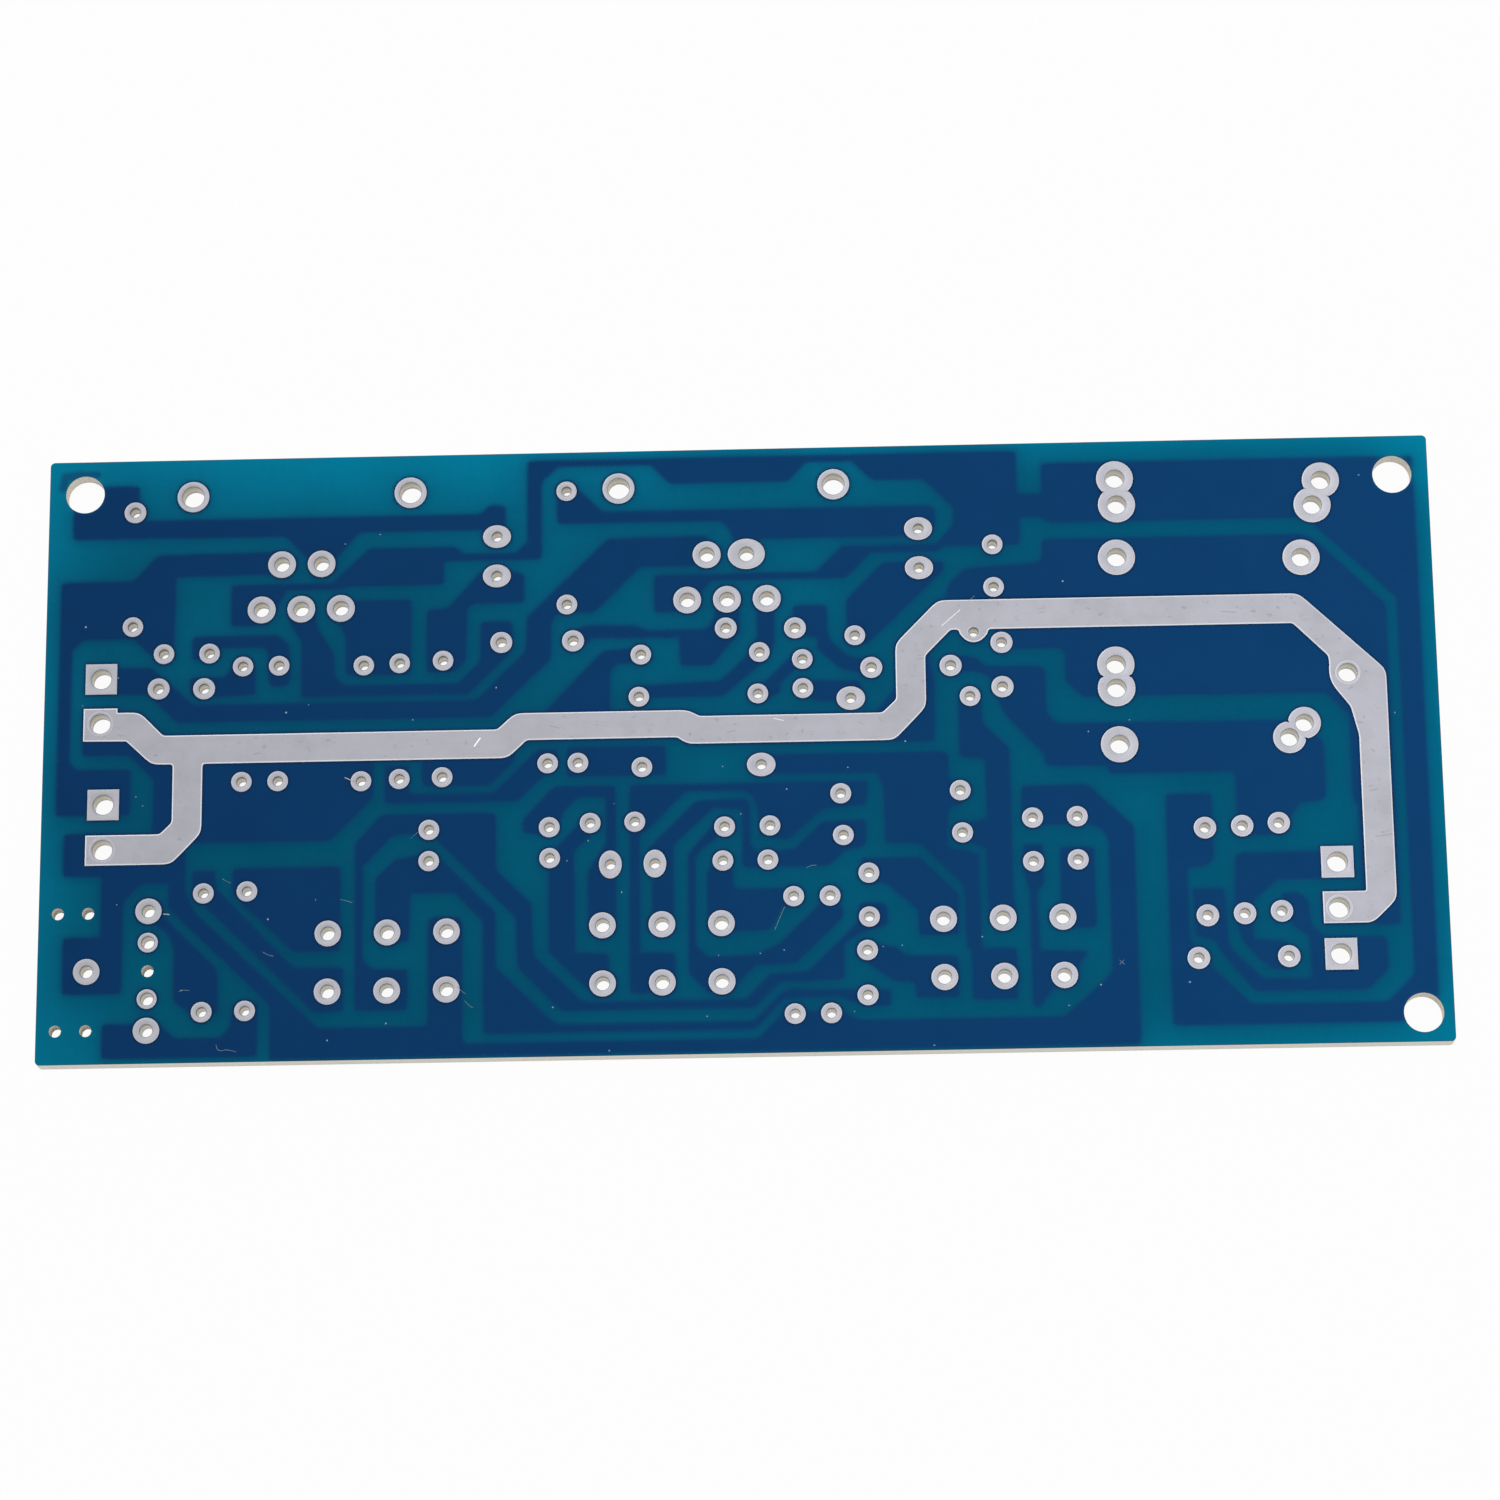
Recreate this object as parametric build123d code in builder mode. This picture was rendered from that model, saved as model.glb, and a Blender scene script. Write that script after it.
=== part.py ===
from build123d import *
from collections import namedtuple
from math import cos, pi, sin, sqrt
import os

# Stereo audio amplifier board, bare, lying with its solder side up. Millimetres.
# The origin is under the middle of the board, X runs along its length and Z is up.

# Laminate
board_length = 118.5
board_width = 53.1
board_thickness = 1.6
board_corner_radius = 0.4

# Grid of the layout. Along the board's edges its steps keep their size, and between those
# bands they widen and narrow with the board, so the copper follows it.
grid_columns = 1185
grid_rows = 531
grid_steps_per_unit = 10
edge_band = 5.0

# Copper foil and the solder coat on the ground bus
foil_thickness = 0.07
tin_thickness = 0.12
edge_margin = 0.15
bus_foil_margin = 0.08
land_foil_margin = 0.05

# Lands and the holes through them, by what is soldered in
lead_land = 2.0
lead_drill = 0.85
stout_land = 2.1
stout_drill = 0.9
oval_length = 2.6
oval_width = 2.15
upright_oval_length = 1.94
upright_oval_width = 2.44
amplifier_land = 2.6
amplifier_drill = 1.3
wide_amplifier_length = 3.2
wide_amplifier_width = 2.75
control_land = 2.5
control_drill = 1.2
terminal_land = 2.85
terminal_drill = 1.75
capacitor_land = 3.25
capacitor_drill = 1.65
small_capacitor_land = 2.8
small_capacitor_drill = 1.55
jack_land = 2.45
jack_drill = 1.1
spare_land = 1.9
pin_land = 2.85
pin_drill = 1.9
lead_lobe_radius = 1.25
capacitor_lobe_radius = 1.65

# Holes without copper
corner_drill = 3.35
peg_drill = 1.0

# Spacing of the leads
amplifier_pitch = 1.7
amplifier_row_gap = 4.03
control_pitch = 5.0
terminal_pitch = 3.96
jack_reach = 5.14
jack_spare_reach = 2.43
jack_peg_reach = 5.05
jack_front_pegs = 5.12
jack_rear_pegs = 7.68

# Sides of the plain round shapes that repeat: the lands, and the holes for leads and pegs
land_sides = 8
lead_hole_sides = 6
peg_hole_sides = 12

Land = namedtuple("Land", "length width drill")
lead = Land(lead_land, lead_land, lead_drill)
stout = Land(stout_land, stout_land, stout_drill)
oval = Land(oval_length, oval_width, stout_drill)
upright_oval = Land(upright_oval_length, upright_oval_width, stout_drill)
amplifier = Land(amplifier_land, amplifier_land, amplifier_drill)
wide_amplifier = Land(wide_amplifier_length, wide_amplifier_width, amplifier_drill)
control = Land(control_land, control_land, control_drill)
terminal = Land(terminal_land, terminal_land, terminal_drill)
capacitor = Land(capacitor_land, capacitor_land, capacitor_drill)
small_capacitor = Land(small_capacitor_land, small_capacitor_land, small_capacitor_drill)
jack = Land(jack_land, jack_land, jack_drill)
spare = Land(spare_land, spare_land, jack_drill)
pin = Land(pin_land, pin_land, pin_drill)


def level(height):
    """The plane at a height over the board's underside, measured from its lower left corner."""
    return Plane(origin=(-board_length / 2, -board_width / 2, height))


def spot(x, y):
    """A place on the grid. A negative value is measured back from the right or the top edge."""
    return (follow(x, grid_columns, board_length), follow(y, grid_rows, board_width))


def follow(value, steps, size):
    """Where a value on the grid lies when the board has this size."""
    drawn_size = steps / grid_steps_per_unit
    place = value if value > 0 else drawn_size + value
    if place <= edge_band:
        return place
    if place >= drawn_size - edge_band:
        return size - (drawn_size - place)
    stretch = (size - 2 * edge_band) / (drawn_size - 2 * edge_band)
    return edge_band + (place - edge_band) * stretch


def lands(kind, *places):
    """Lands of one kind at several places."""
    return [(kind, spot(*place)) for place in places]


def draw_land(kind, place):
    """The copper of one land: square under a screw terminal, round or oval elsewhere."""
    length = kind.length + 2 * land_foil_margin
    width = kind.width + 2 * land_foil_margin
    with Locations(place):
        if kind is terminal:
            Rectangle(length, width)
        else:
            turns = [(side + 0.5) * 2 * pi / land_sides for side in range(land_sides)]
            reach = 0.5 / sqrt(cos(pi / land_sides))
            Polygon(*[(reach * length * cos(turn), reach * width * sin(turn)) for turn in turns],
                    align=None)


def drill_hole(diameter, place):
    """A drilled hole, cut out of the sketch: round for a screw, flat-sided for a lead or a peg."""
    sides = peg_hole_sides if diameter == peg_drill else lead_hole_sides
    with Locations(place):
        if diameter == corner_drill:
            Circle(diameter / 2, mode=Mode.SUBTRACT)
        else:
            RegularPolygon(diameter / 2, sides, major_radius=False, mode=Mode.SUBTRACT)


def copper_net(label, net_lands, *areas):
    """One island of foil: its flooded areas, the lands on it and the holes through them."""
    with BuildPart() as net:
        with BuildSketch(level(board_thickness)):
            for corners in areas:
                Polygon(*[spot(*corner) for corner in corners], align=None)
            for kind, place in net_lands:
                draw_land(kind, place)
            for place in corner_holes:
                drill_hole(corner_drill, place)
            for kind, place in net_lands:
                drill_hole(kind.drill, place)
        extrude(amount=foil_thickness)
    net.part.label = label
    export_step(net.part, f"parts/{label}.step")
    drilled_lands.extend(net_lands)


def amplifier_leads(x, y):
    """The five leads of one amplifier: the odd ones in the lower row, the even ones above them."""
    return [(x + lead_index * amplifier_pitch, y + (lead_index % 2) * amplifier_row_gap)
            for lead_index in range(5)]


def control_leads(x, y):
    """The leads of a twin volume or tone control: three in the upper row, then three below."""
    return [(x + column * control_pitch, y - row * control_pitch)
            for row in range(2) for column in range(3)]


os.makedirs("parts", exist_ok=True)
drilled_lands = []

# Where the footprints stand
corner_holes = [spot(3.07, -2.97), spot(-3.06, -3.48), spot(-2.55, 2.48)]
support_pins = [(12.44, -3.39), (31.19, -3.39), (49.1, -3.39), (67.57, -3.39)]
amplifier_a = amplifier_leads(18.48, 39.42)
amplifier_b = amplifier_leads(54.93, 39.56)
control_a = control_leads(24.46, 10.87)
control_b = control_leads(47.57, 11.15)
control_c = control_leads(76.19, 11.18)
speaker_a = (5.25, 22.41)
speaker_b = (4.85, 33.5)
supply = (-9.2, 11.53)
jack_x, jack_y = 9.3, 7.93

# Ground: a wide bus with tin on it, and the flooded areas that hang on it
bus_outline = [
    (3.4, 30.9), (6.3, 30.9), (6.3, 30.5), (8.2, 30.5), (10.25, 28.4), (38.7, 28.4),
    (40.2, 29.8), (54.9, 29.8), (55.9, 29.25), (71.4, 29.25), (72.6, 30.4), (72.6, 35.3),
    (76.3, 39.1), (-11.5, 39.1), (-4.35, 32.2), (-4.35, 12.2), (-6.4, 10.2),
    (-10.55, 10.2), (-10.55, 12.95), (-6.9, 12.95), (-6.9, 26.5), (-7.5, 29.0),
    (-9.0, 31.0), (-9.2, 33.5), (-12.1, 36.45), (77.35, 36.45), (75.15, 34.2),
    (75.15, 29.7), (72.4, 26.8), (54.8, 26.8), (54.0, 27.4), (41.2, 27.4), (39.6, 25.85),
    (13.65, 25.85), (13.65, 19.8), (11.1, 17.1), (3.8, 17.1), (3.8, 19.75), (10.1, 19.75),
    (11.1, 20.75), (11.1, 25.85), (9.3, 25.85), (7.1, 27.95), (3.4, 28.0)]
bus_lobes = [((79.3, 36.45), lead_lobe_radius), ((-7.6, 32.0), capacitor_lobe_radius)]
bus_lands = (lands(terminal, (speaker_b[0], speaker_b[1] - terminal_pitch))
             + lands(terminal, (speaker_a[0], speaker_a[1] - terminal_pitch))
             + lands(terminal, supply) + lands(lead, (79.3, 36.2))
             + lands(capacitor, (-7.6, 32.0)))

ground_lands = bus_lands + (
    lands(lead, (81.1, 40.2), (16.98, 24.21), (20.06, 24.21), (27.14, 24.07), (34.03, 24.29),
          (50.94, 34.78), (63.65, 3.28), (66.68, 3.29), (83.88, 19.8), (87.64, 19.85))
    + lands(stout, (81.65, 35.25))
    + lands(capacitor, (91.65, 42.63), (-11.13, 42.31), (91.3, 33.1), (91.3, 31.0))
    + lands(jack, (jack_x - jack_reach, jack_y))
    + lands(control, control_a[2], control_a[5]))
ground_areas = [
    # beside the bus, top right
    [(76.6, 38.0), (77.3, 40.6), (78.7, 41.9), (84.9, 42.3), (85.3, 42.7), (85.3, 44.4),
     (-11.0, 44.4), (-9.7, 43.7), (-4.1, 38.0), (-4.1, 10.0), (-6.2, 10.0), (-5.1, 31.7),
     (-11.6, 38.3)],
    # under the bus, right
    [(80.9, 37.0), (80.9, 34.65), (86.6, 34.65), (87.0, 34.2), (87.0, 31.7), (88.5, 30.3),
     (-9.5, 30.25), (-7.65, 28.2), (-7.65, 20.9), (-7.25, 20.3), (-7.25, 12.8), (-6.0, 12.8),
     (-6.0, 31.0), (-11.5, 37.0)],
    # the bend in the middle
    [(72.2, 26.65), (75.8, 26.65), (75.9, 32.0), (75.4, 34.6), (74.0, 34.0), (74.0, 29.0),
     (72.0, 27.5)],
    [(70.6, 29.0), (72.45, 31.25), (73.2, 31.0), (73.0, 29.0)],
    # the branch to the second amplifier
    [(42.4, 29.5), (47.7, 35.2), (50.9, 35.4), (50.9, 34.0), (48.9, 34.0), (48.3, 33.4),
     (48.3, 29.5)],
    # pockets under the bus, left
    [(32.3, 26.2), (32.3, 23.8), (32.6, 23.5), (38.0, 23.5), (40.2, 25.7), (40.2, 26.8)],
    [(12.8, 26.2), (28.2, 26.2), (28.2, 22.6), (24.5, 18.9), (12.8, 18.9)],
    [(3.35, 28.5), (3.35, 26.7), (7.4, 26.7), (9.5, 24.5), (9.5, 19.5), (11.3, 19.5), (11.3, 26.2),
     (8.0, 28.5)],
    # the long strip round the controls and the jack
    [(12.35, 18.9), (12.35, 14.9), (13.1, 13.0), (23.7, 2.75), (32.7, 2.75), (32.9, 3.0),
     (32.9, 11.8), (33.2, 12.1), (35.5, 12.1), (35.8, 11.7), (35.8, 1.6), (36.1, 1.25),
     (60.5, 1.25), (62.8, 3.5), (67.6, 3.5), (68.9, 2.65), (86.1, 2.65), (89.9, 6.0), (90.2, 6.7),
     (90.2, 17.8), (89.7, 18.6), (88.8, 19.15), (83.4, 19.15), (83.0, 19.5), (83.0, 22.6),
     (88.6, 22.6), (92.4, 18.9), (92.4, edge_margin), (19.65, edge_margin), (19.65, 4.8),
     (10.95, 13.3), (10.95, 15.4), (8.6, 15.4), (7.15, 13.9), (7.15, 5.95), (2.1, 5.95),
     (2.1, 10.9), (5.25, 10.9), (5.25, 16.15), (1.95, 16.15), (1.95, 19.9), (4.5, 19.9),
     (11.0, 18.4)],
]


def draw_bus(margin):
    """The bus with its round lobes, widened all round by a margin."""
    Polygon(*[spot(*corner) for corner in bus_outline], align=None)
    for place, radius in bus_lobes:
        with Locations(spot(*place)):
            Circle(radius)
    if margin:
        offset(amount=margin, kind=Kind.INTERSECTION)


with BuildPart() as ground:
    with BuildSketch(level(board_thickness)):
        draw_bus(bus_foil_margin)
        for corners in ground_areas:
            Polygon(*[spot(*corner) for corner in corners], align=None)
        for kind, place in ground_lands:
            draw_land(kind, place)
        for kind, place in ground_lands:
            drill_hole(kind.drill, place)
    extrude(amount=foil_thickness)
ground.part.label = "copper_ground"
export_step(ground.part, "parts/copper_ground.step")
drilled_lands.extend(ground_lands)

with BuildPart() as bus_tin:
    with BuildSketch(level(board_thickness + foil_thickness)):
        draw_bus(0)
        for kind, place in bus_lands:
            drill_hole(kind.drill, place)
    extrude(amount=tin_thickness)
bus_tin.part.label = "bus_tin"
export_step(bus_tin.part, "parts/bus_tin.step")

# Supply rails
copper_net(
    "copper_rail_positive",
    lands(amplifier, amplifier_a[0], amplifier_b[0]) + lands(lead, (81.08, 44.01))
    + lands(capacitor, (91.7, -3.4), (91.8, -5.75), (-9.2, -3.9), (-10.0, -6.1))
    + lands(stout, (-20.17, 18.65), (-21.08, 7.43)),
    [(15.85, 38.0), (15.85, 41.7), (24.5, 41.7), (27.7, 44.75), (35.1, 44.75), (35.8, 44.1),
     (40.3, 44.1), (41.25, 45.1), (41.25, -0.7), (83.3, -0.7), (83.3, -4.6), (85.4, -4.6),
     (85.4, -1.85), (-1.25, -1.85), (-1.25, 1.7), (-23.4, 1.7), (-23.4, 21.65), (-19.5, 21.65),
     (-19.5, 15.9), (-20.3, 15.25), (-21.75, 15.2), (-21.75, 9.3), (-21.1, 7.8), (-16.8, 3.45),
     (-5.5, 3.45), (-3.2, 5.7), (-3.2, 38.6), (-10.6, 45.85), (85.9, 45.85), (85.2, 46.4),
     (83.45, 46.4), (83.45, 43.95), (77.0, 43.95), (76.3, 43.45), (70.6, 43.45), (68.5, 41.25),
     (57.0, 41.25), (54.9, 38.5), (52.1, 38.5), (52.1, 41.85), (65.95, 41.9), (68.2, 44.15),
     (76.3, 44.2), (77.8, 45.9), (77.8, -5.7), (75.3, -3.1), (70.9, -3.1), (69.2, -1.35),
     (65.2, -1.35), (63.7, -3.05), (53.5, -3.05), (51.9, -1.35), (43.9, -1.35), (42.5, -2.75),
     (42.5, 43.45), (34.1, 43.45), (34.1, 41.35), (25.8, 41.35), (25.3, 41.1), (20.6, 41.1),
     (19.0, 38.0)])
copper_net(
    "copper_rail_negative",
    lands(stout, (77.28, 33.29), (81.64, 31.33), (-17.04, 18.76), (-13.96, 18.96))
    + lands(capacitor, (91.4, 26.06)) + lands(small_capacitor, (-11.45, 27.65), (-12.75, 26.4)),
    [(77.3, 33.9), (78.3, 34.2), (79.5, 33.9), (80.3, 33.2), (84.9, 33.1), (85.3, 32.7),
     (85.3, 29.0), (86.2, 28.0), (-12.5, 27.95), (-9.9, 26.0), (-9.9, 21.1), (-10.3, 20.8),
     (-12.1, 20.7), (-14.0, 17.95), (-17.1, 17.85), (-17.45, 20.0), (-17.45, 23.2), (-17.7, 23.5),
     (90.5, 23.5), (90.2, 24.2), (85.1, 24.3), (85.0, 25.3), (81.7, 29.0), (80.5, 32.3),
     (79.5, 32.7), (77.8, 32.8)])
copper_net(
    "copper_supply_lower",
    lands(stout, (-20.2, 11.07), (-14.0, 11.34))
    + lands(terminal, (supply[0], supply[1] - terminal_pitch)),
    [(-21.4, 13.4), (-18.7, 13.4), (-18.55, 8.7), (-18.2, 8.0), (-15.7, 5.6), (-11.7, 5.55),
     (-11.8, 9.1), (-13.2, 10.1), (-14.0, 12.9), (-12.4, 12.9), (-11.7, 12.1), (-11.6, 10.2),
     (-10.6, 9.1), (-5.5, 9.05), (-5.3, 8.7), (-5.3, 6.2), (-7.1, 4.5), (-16.5, 4.5), (-19.2, 7.9),
     (-19.6, 8.9), (-21.3, 9.3)])
copper_net(
    "copper_supply_upper",
    lands(stout, (-17.09, 11.19), (-13.55, 7.45))
    + lands(terminal, (supply[0], supply[1] + terminal_pitch)),
    [(-17.4, 16.45), (-9.2, 16.45), (-9.2, 14.05), (-14.3, 14.05), (-16.3, 12.3), (-16.45, 9.0),
     (-13.6, 8.7), (-13.6, 6.25), (-14.9, 6.4), (-15.9, 7.1), (-17.4, 8.9), (-18.0, 11.2),
     (-17.7, 16.2)])

# First amplifier
copper_net(
    "copper_feedback_a",
    lands(amplifier, amplifier_a[3]) + lands(oval, (38.65, 45.59)) + lands(stout, (7.45, -4.71)),
    [(2.1, 46.0), (20.5, 45.95), (23.0, 43.2), (24.3, 43.2), (26.8, 46.2), (37.3, 46.2),
     (39.0, 45.2), (39.4, 46.6), (39.4, -4.8), (38.1, -4.6), (37.2, -5.45), (8.4, -5.45),
     (7.8, -3.8), (7.8, -2.3), (2.1, -2.25)])
copper_net(
    "copper_output_a",
    lands(amplifier, amplifier_a[1]) + lands(lead, (10.17, 35.64), (7.45, 38.11))
    + lands(terminal, speaker_a),
    [(1.2, 42.2), (7.4, 42.2), (9.5, 44.5), (20.1, 44.6), (20.1, 42.55), (11.1, 42.5),
     (11.05, 35.6), (9.1, 35.5), (7.5, 37.0), (3.2, 37.0), (2.3, 36.1), (2.3, 26.1), (2.9, 25.5),
     (7.55, 25.5), (7.55, 21.45), (1.2, 21.45)])
copper_net(
    "copper_negative_feed_a",
    lands(amplifier, amplifier_a[2]) + lands(stout, (39.03, 36.1)),
    [(20.7, 39.0), (20.9, 38.2), (21.95, 36.5), (21.95, 31.55), (36.2, 31.55), (39.9, 35.3),
     (40.1, 36.1), (39.95, 38.0), (37.25, 38.0), (37.25, 34.5), (35.3, 32.55), (25.6, 32.55),
     (24.8, 33.4), (24.75, 35.4), (23.3, 37.7), (23.1, 39.2)])
copper_net(
    "copper_input_a",
    lands(amplifier, amplifier_a[4]) + lands(lead, (27.29, 34.28), (30.36, 34.42)),
    [(25.3, 40.1), (31.35, 40.1), (31.35, 33.4), (26.0, 33.4), (25.75, 33.7), (25.75, 36.6),
     (25.5, 37.5), (24.6, 38.6)])
copper_net(
    "copper_gain_leg_a",
    lands(oval, (38.64, 42.05)) + lands(lead, (34.06, 34.58)),
    [(37.2, 42.4), (34.4, 39.2), (32.65, 39.2), (32.65, 33.5), (34.9, 33.5), (36.05, 34.6),
     (36.1, 39.1), (36.6, 39.6), (41.0, 39.6), (41.0, 42.1), (40.3, 42.4)])
copper_net(
    "copper_zobel_a",
    lands(lead, (14.07, 35.61), (20.05, 34.41)),
    [(12.6, 35.0), (12.6, 37.15), (19.9, 37.15), (20.9, 36.3), (21.1, 33.2), (20.6, 32.55),
     (19.4, 32.55), (19.15, 32.9), (19.15, 35.3), (18.8, 36.05), (15.0, 36.05), (14.8, 35.0)])
copper_net(
    "copper_input_link_a",
    lands(lead, (16.96, 34.4)) + lands(stout, (13.66, 32.49)),
    [(12.4, 33.5), (15.5, 33.5), (16.3, 35.0), (18.05, 34.5), (18.05, 31.85), (14.5, 31.75),
     (12.5, 32.0)])

# Second amplifier
copper_net(
    "copper_feedback_b",
    lands(wide_amplifier, amplifier_b[3]) + lands(oval, (74.77, 45.56))
    + lands(lead, (44.63, -3.54)),
    [(43.8, 46.6), (43.8, -3.5), (45.6, -3.3), (47.7, -5.45), (75.9, -5.45), (76.25, -5.8),
     (76.25, 45.6), (74.0, 44.9), (61.3, 44.9), (60.6, 43.6), (59.5, 43.6), (58.5, 46.0),
     (57.8, 46.6)])
copper_net(
    "copper_output_b",
    lands(terminal, speaker_b) + lands(amplifier, amplifier_b[1])
    + lands(stout, (9.77, 32.55)) + lands(lead, (44.64, 39.37)),
    [(4.85, 34.45), (9.1, 34.45), (12.8, 31.05), (36.9, 31.05), (41.15, 35.3), (41.2, 38.3),
     (48.2, 45.2), (56.7, 45.3), (57.2, 43.0), (55.4, 42.6), (50.9, 42.6), (47.0, 38.6),
     (44.0, 38.6), (43.3, 37.8), (43.3, 34.6), (38.2, 29.5), (11.4, 29.5), (8.9, 32.05),
     (4.85, 32.05)])
copper_net(
    "copper_negative_feed_b",
    lands(amplifier, amplifier_b[2]) + lands(stout, (45.16, 36.12), (58.2, 37.0)),
    [(44.6, 36.9), (46.4, 37.45), (50.5, 37.4), (51.5, 36.95), (56.6, 36.95), (57.3, 38.0),
     (57.3, 39.5), (59.4, 39.5), (59.4, 36.6), (57.0, 33.7), (54.3, 33.7), (54.2, 36.2),
     (46.8, 36.3), (45.9, 35.5)])
copper_net(
    "copper_input_b",
    lands(amplifier, amplifier_b[4]) + lands(lead, (61.04, 34.81), (50.75, 31.05)),
    [(60.85, 39.3), (60.85, 36.2), (60.2, 34.7), (57.7, 32.35), (50.3, 32.0), (50.3, 30.95),
     (57.9, 30.95), (61.8, 34.3), (62.35, 35.4), (62.35, 39.3)])
copper_net(
    "copper_gain_leg_b",
    lands(oval, (74.78, 42.05)) + lands(lead, (69.19, 36.13)),
    [(68.5, 36.6), (68.5, 39.3), (71.7, 42.6), (76.9, 42.6), (76.9, 41.8), (70.2, 35.3)])
copper_net(
    "copper_zobel_b",
    lands(stout, (64.1, 36.89), (70.54, 33.25)),
    [(63.9, 38.9), (66.85, 38.9), (66.85, 36.5), (67.2, 35.6), (68.6, 34.3), (70.5, 34.0),
     (70.5, 32.6), (67.9, 33.2), (66.0, 35.0), (66.0, 36.0), (64.1, 36.2)])
copper_net(
    "copper_input_link_b",
    lands(lead, (60.87, 31.14), (64.69, 34.11)),
    [(60.9, 32.1), (61.5, 32.2), (64.0, 34.7), (65.2, 33.4), (64.0, 33.2), (62.8, 32.0),
     (62.8, 31.2), (61.2, 30.4)])
copper_net(
    "copper_mute_link",
    lands(lead, (64.7, 31.54)) + lands(oval, (68.75, 30.57)),
    [(64.7, 32.2), (69.4, 32.15), (69.8, 31.5), (69.3, 30.5), (66.2, 30.3), (64.9, 30.8)])

# Input and tone circuit, left
copper_net(
    "copper_jack_tip",
    lands(jack, (jack_x, jack_y + jack_reach)) + lands(lead, (13.91, 4.3)),
    [(9.4, 14.1), (10.3, 14.0), (10.75, 12.4), (15.2, 7.9), (15.35, 4.3), (13.9, 3.5), (11.5, 5.3),
     (11.5, 9.9), (10.9, 11.2), (9.4, 12.2)])
copper_net(
    "copper_jack_ring",
    lands(jack, (jack_x, jack_y - jack_reach)) + lands(lead, (17.55, 4.34)),
    [(5.55, 0.4), (5.55, 3.4), (10.4, 3.3), (11.7, 2.1), (15.5, 2.1), (16.3, 2.9), (16.6, 5.0),
     (18.65, 5.0), (18.65, 0.4)])
copper_net(
    "copper_volume_low",
    lands(lead, (13.91, 14.53)) + lands(control, control_a[3]),
    [(12.95, 14.5), (12.95, 16.5), (14.9, 16.5), (15.0, 14.9), (21.6, 7.95), (25.8, 7.95),
     (25.8, 4.1), (23.4, 4.1)])
copper_net(
    "copper_volume_high",
    lands(lead, (17.59, 14.64)) + lands(control, control_a[0]),
    [(16.35, 16.65), (25.5, 16.65), (25.5, 9.3), (21.6, 9.3), (16.35, 14.4)])
copper_net(
    "copper_wiper_low",
    lands(control, control_a[4]) + lands(lead, (32.93, 19.7), (69.99, 11.49)),
    [(26.75, 4.15), (26.7, 18.6), (28.9, 21.1), (38.4, 21.1), (38.6, 20.8), (38.6, 16.1),
     (41.6, 13.1), (41.8, 8.6), (45.7, 4.8), (46.3, 4.6), (59.6, 4.6), (61.6, 6.7), (64.8, 6.9),
     (68.9, 10.9), (69.2, 12.7), (71.2, 12.7), (71.5, 12.3), (71.5, 10.7), (69.2, 10.1),
     (67.85, 9.2), (67.85, 6.3), (67.5, 6.1), (62.5, 6.05), (60.2, 3.85), (44.1, 3.85),
     (40.4, 7.7), (40.3, 11.9), (33.6, 18.8), (31.4, 19.4), (29.9, 19.3), (27.4, 16.6),
     (27.4, 8.6), (28.2, 7.7), (31.2, 7.65), (31.2, 4.15)])
copper_net(
    "copper_wiper_high",
    lands(control, control_a[1]) + lands(lead, (32.93, 16.98), (69.75, 4.77)),
    [(28.45, 11.5), (28.45, 15.5), (30.0, 17.1), (32.9, 17.7), (34.2, 16.9), (38.6, 12.4),
     (38.6, 7.7), (43.2, 3.1), (43.9, 2.75), (60.2, 2.75), (62.5, 5.1), (63.1, 5.4), (71.7, 5.2),
     (71.7, 3.8), (69.3, 3.8), (67.4, 4.7), (62.8, 4.6), (60.3, 2.0), (37.6, 2.0), (37.5, 11.7),
     (35.1, 14.2), (31.4, 14.2), (31.3, 10.1), (29.5, 9.7)])
copper_net(
    "copper_bass_a",
    lands(lead, (30.39, 24.2), (42.98, 25.33)),
    [(29.15, 22.05), (40.4, 22.05), (42.4, 24.0), (43.8, 24.7), (43.85, 26.6), (42.2, 26.6),
     (38.4, 22.85), (31.5, 22.85), (31.2, 23.1), (31.2, 25.4), (29.15, 25.4)])
copper_net(
    "copper_bass_b",
    lands(lead, (45.55, 25.33), (50.97, 24.85)),
    [(44.6, 24.1), (53.0, 24.1), (53.0, 26.7), (44.6, 26.7)])
copper_net(
    "copper_bass_upper",
    lands(lead, (43.11, 19.74)) + lands(upright_oval, (48.26, 16.4)) + lands(control, control_b[0]),
    [(40.85, 19.3), (40.85, 20.4), (43.5, 23.3), (48.75, 23.3), (48.75, 11.2), (46.35, 11.2),
     (46.35, 15.8), (47.9, 18.2), (47.9, 22.3), (45.5, 22.3), (44.3, 21.1), (44.1, 20.3),
     (43.1, 19.0)])
copper_net(
    "copper_bass_lower",
    lands(lead, (46.57, 20.04), (43.14, 17.05)) + lands(control, control_b[3]),
    [(46.2, 20.6), (43.05, 17.3), (43.05, 8.9), (46.2, 5.8), (47.6, 5.4), (48.1, 7.3),
     (48.1, 8.75), (45.3, 8.8), (45.2, 17.6), (46.9, 19.2)])

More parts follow.
